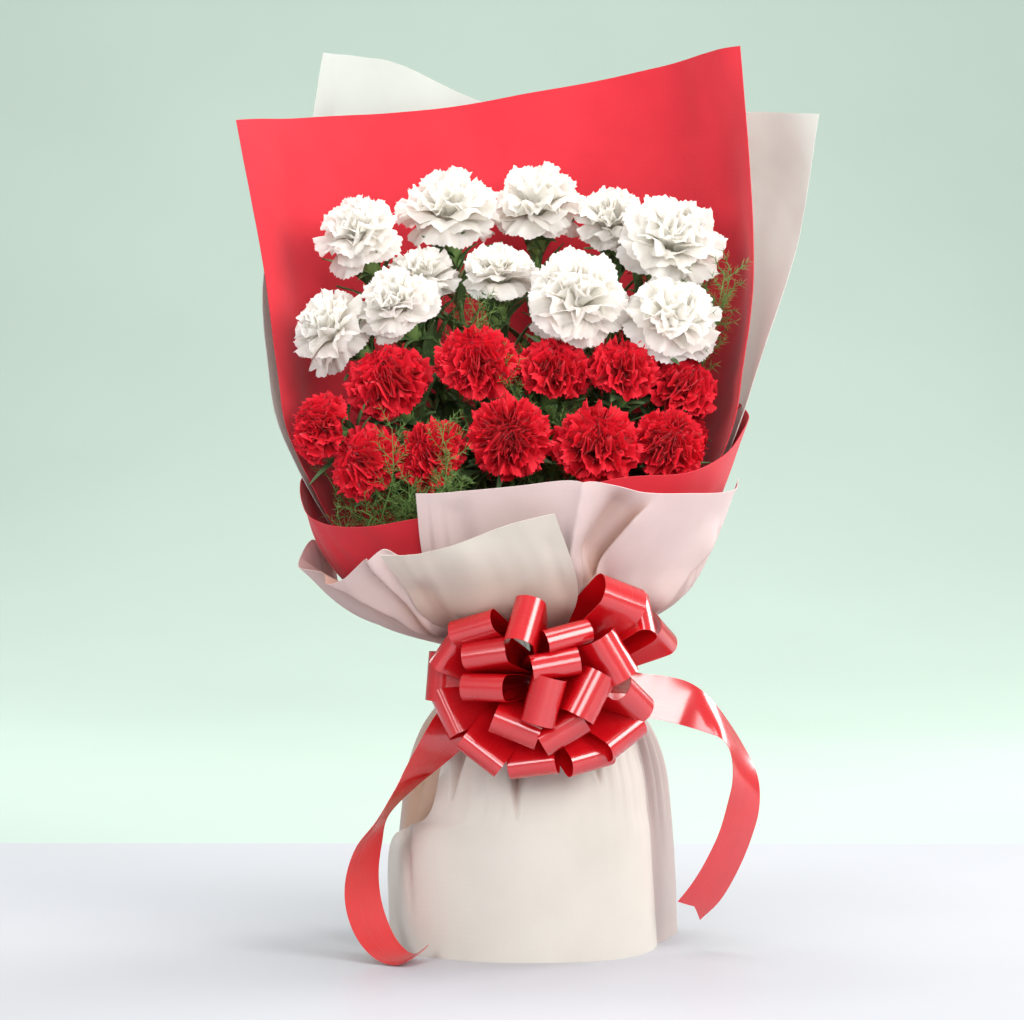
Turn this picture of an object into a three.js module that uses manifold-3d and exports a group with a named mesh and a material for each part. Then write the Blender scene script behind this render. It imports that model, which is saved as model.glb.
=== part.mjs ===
// A hand-tied bunch of red and white carnations, standing upright in a florist's wrap.
// Millimetres, +Z up. The stems stand round the Z axis, the front faces -Y and the table is z = 0.
import * as THREE from 'three';
import { mergeVertices } from 'three/addons/utils/BufferGeometryUtils.js';
import Module from 'manifold-3d';

// ---------------------------------------------------------------- driving dimensions
const SHEET_THICKNESS = 0.8; // the non-woven wrap, with its gathers
const RIBBON_WIDTH = 28;
const RIBBON_THICKNESS = 0.8;
const WAIST_Z = 161; // middle of the ribbon band and of the string tie
const WAIST_FOOT_Z = 151; // lowest edge of the wrap sheets, inside the band
const WAIST_TOP_Z = 172; // top edge of the skirt, where the wrap sheets leave the waist
const WAIST_EASE = 0.6; // that a sheet leaves the band wider than it goes in
const WAIST_PITCH = 1.95; // from one layer at the waist to the next
const INNER_LAYER_RADIUS = 22.6;
const STEM_RADIUS = 2.1;
const STEM_PITCH = 5.4; // between stems of one row at the waist
const STEM_ROW_PITCH = 4.7;
const CALYX_RADIUS = 5.6;
const CALYX_LENGTH = 24;
const PETAL_THICKNESS = 0.7;
const LEAF_WIDTH = 6;
const LEAF_THICKNESS = 0.8;
const NEEDLE_RADIUS = 0.6;
const CLEARANCE = 0.4;

const COLOURS = {
  redSheet: 0xdc2a38,
  creamSheet: 0xe9e1d3,
  ribbon: 0xe0222c,
  redPetal: 0xb80f20,
  whitePetal: 0xf3efe4,
  stem: 0x6f9150,
  fern: 0x557c3a,
  string: 0xcdbd95,
};

const wasm = await Module();
wasm.setup();

// ---------------------------------------------------------------- solids
const vec = (p) => new THREE.Vector3(p[0], p[1], p[2]);

function meshGeometry(points, triangles) {
  const geometry = new THREE.BufferGeometry();
  const flat = points.flatMap((p) => [p.x, p.y, p.z]);
  geometry.setAttribute('position', new THREE.Float32BufferAttribute(flat, 3));
  geometry.setIndex(triangles.flat());
  return facingOut(geometry);
}

// Turns every triangle round where the closed surface would face inwards.
function facingOut(geometry) {
  const p = geometry.attributes.position;
  const index = geometry.index.array;
  const corner = [0, 1, 2].map(() => new THREE.Vector3());
  let volume = 0;
  for (let i = 0; i < index.length; i += 3) {
    corner.forEach((c, k) => c.fromBufferAttribute(p, index[i + k]));
    volume += corner[0].dot(corner[1].clone().cross(corner[2]));
  }
  if (volume < 0) {
    for (let i = 0; i < index.length; i += 3) [index[i + 1], index[i + 2]] = [index[i + 2], index[i + 1]];
  }
  return geometry;
}

function solidOf(geometry) {
  const bare = geometry.clone();
  bare.deleteAttribute('normal');
  bare.deleteAttribute('uv');
  const merged = mergeVertices(bare, 1e-4);
  return new wasm.Manifold(
    new wasm.Mesh({
      numProp: 3,
      vertProperties: new Float32Array(merged.attributes.position.array),
      triVerts: new Uint32Array(merged.index.array),
    }),
  );
}

function geometryOf(solid) {
  const mesh = solid.getMesh();
  const geometry = new THREE.BufferGeometry();
  geometry.setAttribute('position', new THREE.BufferAttribute(mesh.vertProperties, 3));
  geometry.setIndex(new THREE.BufferAttribute(mesh.triVerts, 1));
  return geometry;
}

const fuse = (solids) => wasm.Manifold.union(solids);

// A closed body through rings of points, one ring after another, with a fan on each end. Side turnedSide
// splits its quads along their other diagonal, so that both faces of a thin twisted strip bend alike.
function loft(rings, turnedSide = -1) {
  const sides = rings[0].length;
  const triangles = [];
  for (let r = 0; r + 1 < rings.length; r++) {
    for (let s = 0; s < sides; s++) {
      const a = r * sides + s;
      const b = r * sides + ((s + 1) % sides);
      if (s === turnedSide) triangles.push([a, b, a + sides], [b, b + sides, a + sides]);
      else triangles.push([a, b, b + sides], [a, b + sides, a + sides]);
    }
  }
  const last = (rings.length - 1) * sides;
  for (let s = 1; s + 1 < sides; s++) {
    triangles.push([0, s + 1, s], [last, last + s, last + s + 1]);
  }
  return meshGeometry(rings.flat(), triangles);
}

// ---------------------------------------------------------------- wrap sheets
const splineThrough = (points) => new THREE.CatmullRomCurve3(points, false, 'catmullrom', 0.5);

// One row of a sheet at the waist: round the stems, straight inwards of each point of a wider row.
function waistRow(radius, z, row) {
  return row.map(([x, y]) => [(radius * x) / Math.hypot(x, y), (radius * y) / Math.hypot(x, y), z]);
}

const HEM_Z = 0.01; // below this a row is a hem that stands on the table

// A thin closed sheet on a net of points: rows of as many points each, smooth both ways.
function sheetGeometry(net, stepsAlong) {
  const rows = net.map((row) => splineThrough(row.map(vec)));
  const across = (net[0].length - 1) * stepsAlong;
  const up = net.length - 1;
  const grid = [];
  for (let i = 0; i <= across; i++) {
    const column = splineThrough(rows.map((row) => row.getPoint(i / across)));
    for (let j = 0; j <= up; j++) grid.push(column.getPoint(j / up));
  }
  const at = (i, j) => i * (up + 1) + j;
  const faces = [[], []];
  grid.forEach((point, n) => {
    const i = Math.floor(n / (up + 1));
    const j = n % (up + 1);
    const along = grid[at(Math.min(i + 1, across), j)].clone().sub(grid[at(Math.max(i - 1, 0), j)]);
    const rise = grid[at(i, Math.min(j + 1, up))].clone().sub(grid[at(i, Math.max(j - 1, 0))]);
    const normal = along.cross(rise);
    if (point.z < HEM_Z) normal.z = 0; // a hem on the table stays flat
    normal.setLength(SHEET_THICKNESS / 2);
    faces[0].push(point.clone().add(normal));
    faces[1].push(point.clone().sub(normal));
  });
  const count = grid.length;
  const triangles = [];
  const quad = (a, b, c, d) => triangles.push([a, b, c], [a, c, d]);
  for (let i = 0; i < across; i++) {
    for (let j = 0; j < up; j++) {
      const [a, b, c, d] = [at(i, j), at(i + 1, j), at(i + 1, j + 1), at(i, j + 1)];
      quad(a, b, c, d);
      triangles.push([a + count, c + count, b + count], [a + count, d + count, c + count]);
    }
  }
  const rim = [];
  for (let i = 0; i < across; i++) rim.push(at(i, 0));
  for (let j = 0; j < up; j++) rim.push(at(across, j));
  for (let i = across; i > 0; i--) rim.push(at(i, up));
  for (let j = up; j > 0; j--) rim.push(at(0, j));
  rim.forEach((a, k) => {
    const b = rim[(k + 1) % rim.length];
    quad(a, a + count, b + count, b);
  });
  return meshGeometry([...faces[0], ...faces[1]], triangles);
}

const layerRadius = (layer) => INNER_LAYER_RADIUS + layer * WAIST_PITCH;

// The two rows that hold a sheet at the waist, before its own free rows.
function gathered(layer, firstZ, secondZ, rows) {
  const radius = layerRadius(layer);
  return [waistRow(radius, firstZ, rows[0]), waistRow(radius + WAIST_EASE, secondZ, rows[0]), ...rows];
}
const wrap = (layer, rows) => gathered(layer, WAIST_FOOT_Z, WAIST_TOP_Z, rows);
const skirt = (layer, rows) => gathered(layer, WAIST_TOP_Z, WAIST_FOOT_Z, rows).reverse();

// Free rows from the waist upwards, each from the sheet's left edge to its right edge.
const BACK_RED = wrap(0, [
  [[-96, -23, 226], [-76, 10, 214], [-40, 27, 210], [0, 34, 210], [38, 27, 210], [66, 8, 214], [82, -25, 228]],
  [[-139, -27, 296], [-116, 19, 299], [-62, 50, 299], [0, 62, 299], [58, 50, 302],
    [105, 13, 302], [116, -38, 298]],
  [[-150, -18, 345], [-128, 34, 348], [-70, 68, 350], [0, 79, 350], [62, 70, 350],
    [112, 34, 350], [127, -24, 344]],
  [[-161, 4, 410], [-130, 50, 411], [-70, 80, 412], [0, 92, 413], [66, 82, 412],
    [116, 50, 412], [134, -4, 410]],
  [[-178, 30, 496], [-131, 76, 501], [-72, 98, 507], [0, 104, 518], [70, 90, 531],
    [104, 66, 538], [127, 42, 542]],
]);
const BACK_CREAM = wrap(1, [
  [[-102, -13, 228], [-83, 20, 214], [-44, 37, 210], [0, 43, 210], [42, 37, 210],
    [75, 16, 214], [88, -18, 230]],
  [[-147, -16, 300], [-124, 29, 299], [-66, 62, 299], [0, 74, 299], [64, 62, 302],
    [114, 21, 304], [121, -24, 304]],
  [[-158, 4, 350], [-134, 48, 350], [-72, 82, 350], [0, 92, 350], [70, 82, 350],
    [124, 46, 352], [141, 6, 356]],
  [[-160, 32, 411], [-132, 68, 412], [-72, 94, 412], [0, 104, 413], [80, 94, 412],
    [134, 62, 412], [160, 36, 411]],
  [[-140, 76, 476], [-116, 96, 472], [-74, 107, 464], [0, 112, 460], [78, 104, 460],
    [144, 78, 458], [170, 48, 456]],
  [[-129, 92, 543], [-106, 102, 541], [-80, 110, 536], [-16, 116, 510], [72, 108, 504],
    [138, 88, 505], [178, 56, 501]],
]);
const COLLAR = wrap(2, [
  [[-90, 12, 212], [-96, -12, 209], [-90, -34, 204], [-70, -42, 197], [-42, -50, 194], [0, -54, 194],
    [37, -50, 196], [62, -42, 203], [82, -30, 214], [92, -10, 222], [92, 14, 222]],
  [[-116, 12, 244], [-124, -16, 239], [-110, -48, 227], [-82, -66, 222], [-46, -76, 222], [0, -80, 222],
    [41, -72, 224], [72, -58, 233], [98, -42, 250], [112, -10, 266], [109, 14, 272]],
  [[-131, 12, 284], [-137, -14, 277], [-129, -46, 258], [-107, -73, 252], [-66, -92, 258], [0, -100, 270],
    [51, -97, 281], [93, -76, 285], [117, -46, 296], [130, -8, 314], [127, 16, 324]],
]);
const FRONT_RIGHT = wrap(3, [
  [[-48, -62, 198], [-33, -67, 197], [-6, -68, 197], [22, -71, 199], [44, -64, 200], [68, -56, 202],
    [86, -38, 207], [91, -12, 212]],
  [[-61, -88, 234], [-40, -86, 227], [-6, -87, 224], [26, -95, 227], [42, -82, 229], [72, -70, 228],
    [98, -47, 234], [109, -14, 238]],
  [[-65, -105, 273], [-45, -108, 274], [-6, -114, 277], [31, -116, 281], [63, -107, 274], [96, -86, 272],
    [119, -48, 273], [124, -16, 279]],
]);
const WING_LEFT = wrap(4, [
  [[-96, 10, 205], [-101, -14, 202], [-101, -34, 198], [-87, -48, 194], [-72, -61, 193], [-58, -73, 199],
    [-48, -71, 196], [-38, -75, 197], [-26, -78, 199]],
  [[-122, 8, 238], [-131, -14, 242], [-136, -42, 228], [-121, -60, 226], [-105, -80, 227], [-84, -102, 241],
    [-68, -96, 233], [-57, -106, 238], [-34, -112, 240]],
]);
const FRONT_LEFT = wrap(5, [
  [[-58, -83, 199], [-40, -86, 198], [-19, -88, 197], [4, -86, 198], [23, -81, 200]],
  [[-72, -98, 220], [-52, -104, 220], [-22, -108, 224], [8, -108, 228], [27, -98, 222]],
  [[-85, -110, 238], [-62, -116, 239], [-36, -121, 247], [-8, -124, 257], [14, -122, 262]],
]);

// The skirt's layers hang from the waist to the table.
const SKIRT_LAYER = 6;
const SKIRT_BACK = skirt(SKIRT_LAYER, [
  [[46, -27, 140], [60, 4, 140], [58, 34, 140], [30, 52, 140], [-4, 58, 140], [-34, 50, 140], [-53, 28, 140],
    [-55, -4, 140], [-41, -31, 140]],
  [[56, -27, 108], [73, 5, 108], [79, 40, 108], [45, 68, 108], [0, 74, 108], [-42, 66, 108], [-66, 36, 108],
    [-69, -4, 108], [-47, -42, 108]],
  [[62, -29, 60], [79, 5, 60], [86, 46, 60], [50, 77, 60], [0, 86, 60], [-48, 75, 60], [-75, 40, 60],
    [-77, -2, 60], [-62, -37, 60]],
  [[65, -31, 0], [83, 6, 0], [88, 48, 0], [52, 82, 0], [0, 90, 0], [-50, 79, 0], [-78, 43, 0], [-79, 2, 0],
    [-66, -35, 0]],
]);
const SKIRT_FRONT = skirt(SKIRT_LAYER + 1, [
  [[-47, -38, 140], [-33, -47, 140], [-16, -53, 140], [1, -55, 140], [18, -54, 140], [34, -49, 140],
    [46, -40, 140], [53, -28, 140], [56, -13, 140]],
  [[-53, -47, 108], [-38, -58, 108], [-19, -64, 108], [1, -66, 108], [21, -65, 108], [41, -57, 108],
    [55, -45, 108], [63, -31, 108], [66, -15, 108]],
  [[-60, -52, 82], [-42, -63, 82], [-22, -69, 82], [0, -71, 82], [22, -70, 82], [43, -62, 82],
    [58, -48, 82], [66.5, -33, 82], [69.5, -16, 82]],
  [[-83, -14, 62], [-68, -48, 64], [-34, -67, 62], [-6, -74, 62], [20, -73, 62], [43, -65, 62], [60, -49, 62],
    [69, -34, 62], [72, -16, 62]],
  [[-84, -6, 0], [-70, -47, 0], [-38, -72, 0], [-6, -79, 0], [22, -78, 0], [45, -70, 0], [62, -54, 0],
    [72, -36, 0], [76, -17, 0]],
]);

// ---------------------------------------------------------------- blooms
// Layers of petals from the outermost in: angle from the bloom's axis, reach over the bloom's radius, count.
const PETAL_LAYERS = [
  { lean: 96, reach: 1.0, count: 6 },
  { lean: 64, reach: 0.98, count: 5 },
  { lean: 30, reach: 0.88, count: 3 },
];
const PETAL_EDGE_POINTS = 5; // tooth, notch, tooth, notch, tooth
const PETAL_WAVE = 9; // degrees that the edge swings up and down
const PETAL_GAP = 0.96; // share of a layer's circle that its petals cover
const PETAL_ROOT_SPREAD = 11; // degrees of the core, above and below a layer, that its petals grow from
const NOTCH_DEPTH = 0.14;
const CORE_RADIUS = 0.3; // of the core that the petals stand out of, in bloom radii
const CORE_HEIGHT = 0.32; // of the core's middle over the calyx, in bloom radii
const BLOOM_MIDDLE = 0.5; // of the bloom over the calyx, in bloom radii

// name, middle of the bloom, the way it faces, radius
const WHITE_BLOOMS = [
  ['top_1', [-104, 8, 428], [-0.3, -0.45, 0.84], 26],
  ['top_2', [-50, 32, 444], [-0.1, -0.22, 0.97], 31],
  ['top_3', [5, 48, 449], [0, -0.5, 0.86], 29],
  ['top_4', [51, 37, 437], [-0.05, -0.45, 0.89], 24],
  ['top_5', [86, 3, 424], [0.3, -0.6, 0.74], 32],
  ['mid_1', [-120, -22, 369], [-0.7, -0.4, 0.5], 26],
  ['mid_2', [-80, -31, 385], [-0.35, -0.6, 0.7], 24],
  ['mid_3', [-65, 6, 401], [-0.1, -0.4, 0.9], 23],
  ['mid_4', [-19, -6, 404], [0, -0.35, 0.93], 23],
  ['mid_5', [29, -27, 388], [0.1, -0.8, 0.6], 31],
  ['mid_6', [86, -26, 376], [0.4, -0.6, 0.7], 29],
];
const RED_BLOOMS = [
  ['upper_1', [-124, -46, 311], [-0.8, -0.45, 0.4], 22],
  ['upper_2', [-84, -42, 339], [-0.35, -0.6, 0.72], 27],
  ['upper_3', [-31, -44, 350], [-0.05, -0.7, 0.7], 26],
  ['upper_4', [14, -34, 345], [0.1, -0.5, 0.86], 24],
  ['upper_5', [55, -36, 345], [0.1, -0.5, 0.86], 23],
  ['upper_6', [92, -22, 335], [0.5, -0.5, 0.7], 23],
  ['upper_7', [95, -14, 307], [0.6, -0.5, 0.5], 14],
  ['lower_1', [-97, -58, 290], [-0.6, -0.7, 0.4], 23],
  ['lower_2', [-58, -64, 295], [-0.4, -0.75, 0.5], 23],
  ['lower_3', [-12, -72, 305], [0, -0.93, 0.36], 26],
  ['lower_4', [39, -66, 302], [0.1, -0.7, 0.7], 27],
  ['lower_5', [82, -52, 301], [0.25, -0.8, 0.5], 24],
];

// A frame on a point of the bunch whose Z axis looks along a direction.
function frameAt(point, direction, turn = 0) {
  const look = new THREE.Quaternion().setFromUnitVectors(new THREE.Vector3(0, 0, 1), direction);
  const spin = new THREE.Quaternion().setFromAxisAngle(new THREE.Vector3(0, 0, 1), turn);
  return new THREE.Matrix4().compose(point, look.multiply(spin), new THREE.Vector3(1, 1, 1));
}

const facingOf = ([, , facing]) => vec(facing).normalize();
const calyxMouth = (bloom) => vec(bloom[1]).addScaledVector(facingOf(bloom), -BLOOM_MIDDLE * bloom[3]);

// A point round the bloom's axis: azimuth and angle from the axis in radians, and distance.
function polarPoint(azimuth, lean, reach) {
  const out = reach * Math.sin(lean);
  return new THREE.Vector3(out * Math.cos(azimuth), out * Math.sin(azimuth), reach * Math.cos(lean));
}

// Joins two rings of core points, each given as { azimuth, index } in rising order, by triangles.
function stitch(lower, upper) {
  const triangles = [];
  let [i, j] = [0, 0];
  const azimuthOf = (ring, k) => ring[k % ring.length].azimuth + 2 * Math.PI * Math.floor(k / ring.length);
  while (i < lower.length || j < upper.length) {
    const [a, b] = [lower[i % lower.length].index, upper[j % upper.length].index];
    const lowerIsNext = i < lower.length && azimuthOf(lower, i + 1) < azimuthOf(upper, j + 1);
    const stepLower = j === upper.length || lowerIsNext;
    if (stepLower) triangles.push([a, lower[(i + 1) % lower.length].index, b]);
    else triangles.push([a, upper[(j + 1) % upper.length].index, b]);
    if (stepLower) i += 1;
    else j += 1;
  }
  return triangles;
}

// Closes the core's first or last ring with a fan that faces out.
function cap(points, isTop) {
  const fan = [];
  for (let i = 1; i + 1 < points.length; i++) {
    const [a, b] = isTop ? [i, i + 1] : [i + 1, i];
    fan.push([points[0].index, points[a].index, points[b].index]);
  }
  return fan;
}

// A bloom is one closed body: a small core, and toothed, waved petals that grow from bands of it.
function bloomGeometry(radius) {
  const points = [];
  const triangles = [];
  const add = (point) => points.push(point) - 1;
  let below = null;
  PETAL_LAYERS.forEach(({ lean, reach, count }, layer) => {
    const lean0 = THREE.MathUtils.degToRad(lean);
    const spread = THREE.MathUtils.degToRad(PETAL_ROOT_SPREAD);
    const first = 0.4 * layer; // each layer is turned against the one outside it
    const azimuths = Array.from({ length: count }, (_, i) => first + (2 * Math.PI * i) / count);
    const ringAt = (angle) =>
      azimuths.map((azimuth) => ({ azimuth, index: add(polarPoint(azimuth, angle, CORE_RADIUS * radius)) }));
    const [lower, upper] = [ringAt(lean0 + spread), ringAt(lean0 - spread)];
    if (below) triangles.push(...stitch(below, lower));
    else triangles.push(...cap(lower, false));
    azimuths.forEach((azimuth, i) => {
      const next = (i + 1) % count;
      const sector = (2 * Math.PI) / count;
      const edge = [1, -1].map((side) =>
        Array.from({ length: PETAL_EDGE_POINTS }, (_, k) => {
          const share = 0.5 + PETAL_GAP * (k / (PETAL_EDGE_POINTS - 1) - 0.5);
          const tooth = k % 2 === 0;
          const length = radius * reach * (tooth ? 1 : 1 - NOTCH_DEPTH);
          const angle = lean0 + THREE.MathUtils.degToRad(PETAL_WAVE) * (tooth ? -0.5 : 0.5);
          const lift = polarPoint(azimuth + sector * share, angle - Math.PI / 2, PETAL_THICKNESS / 2);
          return add(polarPoint(azimuth + sector * share, angle, length).addScaledVector(lift, side));
        }),
      );
      const [top, bottom] = edge;
      const last = PETAL_EDGE_POINTS - 1;
      const half = last / 2;
      const [lowA, lowB, upA, upB] = [lower[i].index, lower[next].index, upper[i].index, upper[next].index];
      triangles.push([upA, top[half], upB], [lowA, lowB, bottom[half]]);
      for (let k = 0; k < last; k++) {
        const [low, up] = k < half ? [lowA, upA] : [lowB, upB];
        triangles.push([up, top[k], top[k + 1]], [low, bottom[k + 1], bottom[k]]);
        triangles.push([top[k], bottom[k], bottom[k + 1]], [top[k], bottom[k + 1], top[k + 1]]);
      }
      triangles.push([lowA, bottom[0], top[0]], [lowA, top[0], upA]);
      triangles.push([lowB, upB, top[last]], [lowB, top[last], bottom[last]]);
    });
    below = upper;
  });
  triangles.push(...cap(below, true));
  return meshGeometry(points, triangles);
}

function bloomSolid(bloom) {
  const radius = bloom[3];
  const head = bloomGeometry(radius);
  head.translate(0, 0, CORE_HEIGHT * radius + CLEARANCE);
  head.applyMatrix4(frameAt(calyxMouth(bloom), facingOf(bloom), bloom[1][0]));
  return solidOf(head);
}

// ---------------------------------------------------------------- stems
const STEM_SIDES = 5;
const STEM_CURVE_STEPS = 3;
const STEM_BEND_START_Z = 176;
const STEM_BEND_PULL = 0.3; // how long a stem keeps each end's direction, over the distance between them
const STEM_TAPER = 0.15;

// Rings of the calyx below its mouth: depth under the mouth and radius, over the calyx's own.
const CALYX_RINGS = [
  [1.0, 0.42],
  [0.75, 0.95],
  [0.0, 1.0],
];

function ring(frame, radius, sides) {
  return Array.from({ length: sides }, (_, i) => {
    const angle = (2 * Math.PI * i) / sides;
    return new THREE.Vector3(radius * Math.cos(angle), radius * Math.sin(angle), 0).applyMatrix4(frame);
  });
}

function stemCurve(slot, bloom) {
  const mouth = calyxMouth(bloom);
  const facing = facingOf(bloom);
  const foot = mouth.clone().addScaledVector(facing, -CALYX_LENGTH);
  const start = new THREE.Vector3(slot[0], slot[1], STEM_BEND_START_Z);
  const reach = foot.distanceTo(start);
  return new THREE.CubicBezierCurve3(
    start,
    start.clone().add(new THREE.Vector3(0, 0, STEM_BEND_PULL * reach)),
    foot.clone().addScaledVector(facing, -STEM_BEND_PULL * reach),
    foot,
  );
}

function stemSolid(slot, bloom) {
  const up = new THREE.Vector3(0, 0, 1);
  const rings = [0, WAIST_FOOT_Z].map((z) =>
    ring(frameAt(new THREE.Vector3(slot[0], slot[1], z), up), STEM_RADIUS, STEM_SIDES),
  );
  const curve = stemCurve(slot, bloom);
  for (let i = 0; i < STEM_CURVE_STEPS; i++) {
    const t = i / STEM_CURVE_STEPS;
    const radius = STEM_RADIUS * (1 - STEM_TAPER * t);
    rings.push(ring(frameAt(curve.getPoint(t), curve.getTangent(t)), radius, STEM_SIDES));
  }
  const mouth = calyxMouth(bloom);
  const facing = facingOf(bloom);
  for (const [depth, width] of CALYX_RINGS) {
    const middle = mouth.clone().addScaledVector(facing, -depth * CALYX_LENGTH);
    rings.push(ring(frameAt(middle, facing), width * CALYX_RADIUS, STEM_SIDES));
  }
  return solidOf(loft(rings));
}

// Bundle slots at the waist: one row for each row of blooms, from the back to the front.
function slotRow(row, count) {
  return Array.from({ length: count }, (_, i) => [(i - (count - 1) / 2) * STEM_PITCH, row * STEM_ROW_PITCH]);
}
const STEM_ROWS = [
  ['white', WHITE_BLOOMS.slice(0, 5), slotRow(2, 5)],
  ['white', WHITE_BLOOMS.slice(5), slotRow(1, 6)],
  ['red', RED_BLOOMS.slice(0, 7), slotRow(0, 7)],
  ['red', RED_BLOOMS.slice(7), slotRow(-1, 5)],
];

// ---------------------------------------------------------------- leaves
const LEAF_LENGTH = 42;
const LEAF_TRIES = 16;
const GOLDEN_ANGLE = Math.PI * (3 - Math.sqrt(5));
const LEAF_PLACES = [0.42, 0.62]; // along the curved part of the stem, by turns
const LEAF_SHORTEST = 0.6; // of its length, where the bunch leaves no more room

// Along a leaf: how far out and up, over its length, its width over the full one, and its lean in radians.
const LEAF_STATIONS = [
  [0, 0, 0.5, 0.25],
  [0.16, 0.5, 1.0, 0.55],
  [0.52, 1.0, 0.14, 0.85],
];

// A narrow arched leaf that leaves its stem steeply and bends outwards.
function leafSolid(root, stemDirection, azimuth, length, grow = 0) {
  const frame = frameAt(root, stemDirection, azimuth);
  const rings = LEAF_STATIONS.map(([out, up, width, tilt]) => {
    const half = (LEAF_WIDTH / 2) * width + grow;
    const thick = LEAF_THICKNESS / 2 + grow;
    const outward = new THREE.Vector3(Math.cos(tilt), 0, -Math.sin(tilt)).multiplyScalar(thick);
    const middle = new THREE.Vector3(out * length, 0, up * length);
    return [[-half, -1], [half, -1], [half, 1], [-half, 1]].map(([side, face]) =>
      middle.clone().addScaledVector(outward, face).add(new THREE.Vector3(0, side, 0)).applyMatrix4(frame),
    );
  });
  return solidOf(loft(rings));
}

// ---------------------------------------------------------------- fern sprays
const FERN_STEM_RADIUS = 1.5;
const NEEDLE_LENGTH = 15;
const NEEDLES_PER_BRANCH = 12;
const NEEDLE_STARTS = [0.62, 0.3]; // where the needles start along the first and the second branch
const NEEDLE_OUT = 0.85; // of a needle's direction away from its branch
const NEEDLE_AHEAD = 0.6; // of a needle's direction along its branch
const BRANCH_END = 0.995;
const BRANCH_SIDES = 3;
const BRANCH_STEPS = 2; // between two points of a branch
const BRANCH_TAPER = 0.3;

// Each spray's branches, as points from the stem's foot outwards; the second leaves the first on its way.
const FERN_SPRAYS = [
  ['fern_left', [
    [[-10.8, -9.4, 0], [-10.8, -9.4, 172], [-34, -30, 212], [-74, -52, 246], [-98, -66, 262]],
    [[-34, -30, 212], [-58, -56, 244], [-72, -76, 266]],
  ]],
  ['fern_middle', [
    [[0, -9.4, 0], [0, -9.4, 172], [12, -20, 250], [17, -30, 290], [18, -42, 318]],
    [[0, -9.4, 172], [-6, -10, 200], [-34, -16, 300], [-54, -20, 362]],
  ]],
  ['fern_right', [
    [[14.8, 10.2, 0], [14.8, 10.2, 130], [15.2, 10.6, 184], [38, 19, 250], [76, 36, 330], [108, 34, 396]],
    [[76, 36, 330], [100, 24, 350], [112, 14, 376]],
  ]],
];

function branchSolid(curve) {
  const steps = (curve.points.length - 1) * BRANCH_STEPS;
  const rings = Array.from({ length: steps + 1 }, (_, i) => {
    const t = i / steps;
    const radius = FERN_STEM_RADIUS * (1 - BRANCH_TAPER * t);
    return ring(frameAt(curve.getPoint(t), curve.getTangent(t)), radius, BRANCH_SIDES);
  });
  return solidOf(loft(rings));
}

// A three-sided needle that ends in a point.
function needleSolid(root, direction, length, grow = 0) {
  const foot = ring(frameAt(root, direction), NEEDLE_RADIUS + grow, 3);
  const tip = root.clone().addScaledVector(direction, length + grow);
  return solidOf(meshGeometry([...foot, tip], [[0, 2, 1], [0, 1, 3], [1, 2, 3], [2, 0, 3]]));
}

// ---------------------------------------------------------------- ribbon
const BOW_HUB = [4, -50.2, WAIST_Z];
const BOW_HUB_RADIUS = 10;
const LOOP_ROOT = 8; // from the hub's middle to where a loop starts, inside the hub
const LOOP_STEPS = 3;

// Each loop of the rosette: middle of its round end, the slope of its ribbon's width in degrees, end radius.
const BOW_LOOPS = [
  [[-32, -102, 197], 0, 7],
  [[-3, -116, 200], 80, 9],
  [[21, -109, 192], 22, 7],
  [[50, -99, 213], 5, 11],
  [[64, -84, 201], 57, 8],
  [[75, -66, 190], 15, 8],
  [[-46, -90, 184], 40, 6],
  [[-24, -104, 182], 0, 8],
  [[14, -113, 176], 12, 8],
  [[47, -106, 180], -55, 10],
  [[-53, -75, 166], 88, 8],
  [[-25, -103, 162], 0, 8],
  [[8, -114, 156], 75, 10],
  [[34, -110, 158], 58, 10],
  [[58, -93, 155], -25, 9],
  [[-47, -80, 145], -42, 7],
  [[-8, -105, 139], -20, 8],
  [[19, -107, 137], 30, 8],
  [[53, -90, 132], 5, 8],
  [[-28, -92, 123], -35, 7],
  [[2, -92, 116], 20, 7],
  [[34, -92, 120], -10, 8],
];

const STRIP_BACK = 2; // the side of a strip's section that is its back face

// A ribbon strip through middle points, each with the half-width vector across it.
function stripSolid(middles, halves) {
  const rings = middles.map((middle, i) => {
    const ahead = middles[Math.min(i + 1, middles.length - 1)].clone().sub(middles[Math.max(i - 1, 0)]);
    const lift = ahead.cross(halves[i]).setLength(RIBBON_THICKNESS / 2);
    return [[1, 1], [-1, 1], [-1, -1], [1, -1]].map(([side, face]) =>
      middle.clone().addScaledVector(halves[i], side).addScaledVector(lift, face),
    );
  });
  return solidOf(loft(rings, STRIP_BACK));
}

const LOOP_END_DEPTH = 0.8; // of a loop's round end along the loop, over its radius
const LOOP_ROOT_GAP = 3; // between the two ends of a loop inside the hub
const LOOP_ROOT_WIDTH = 0.12; // of the pinched ends, over the ribbon's width

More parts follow.
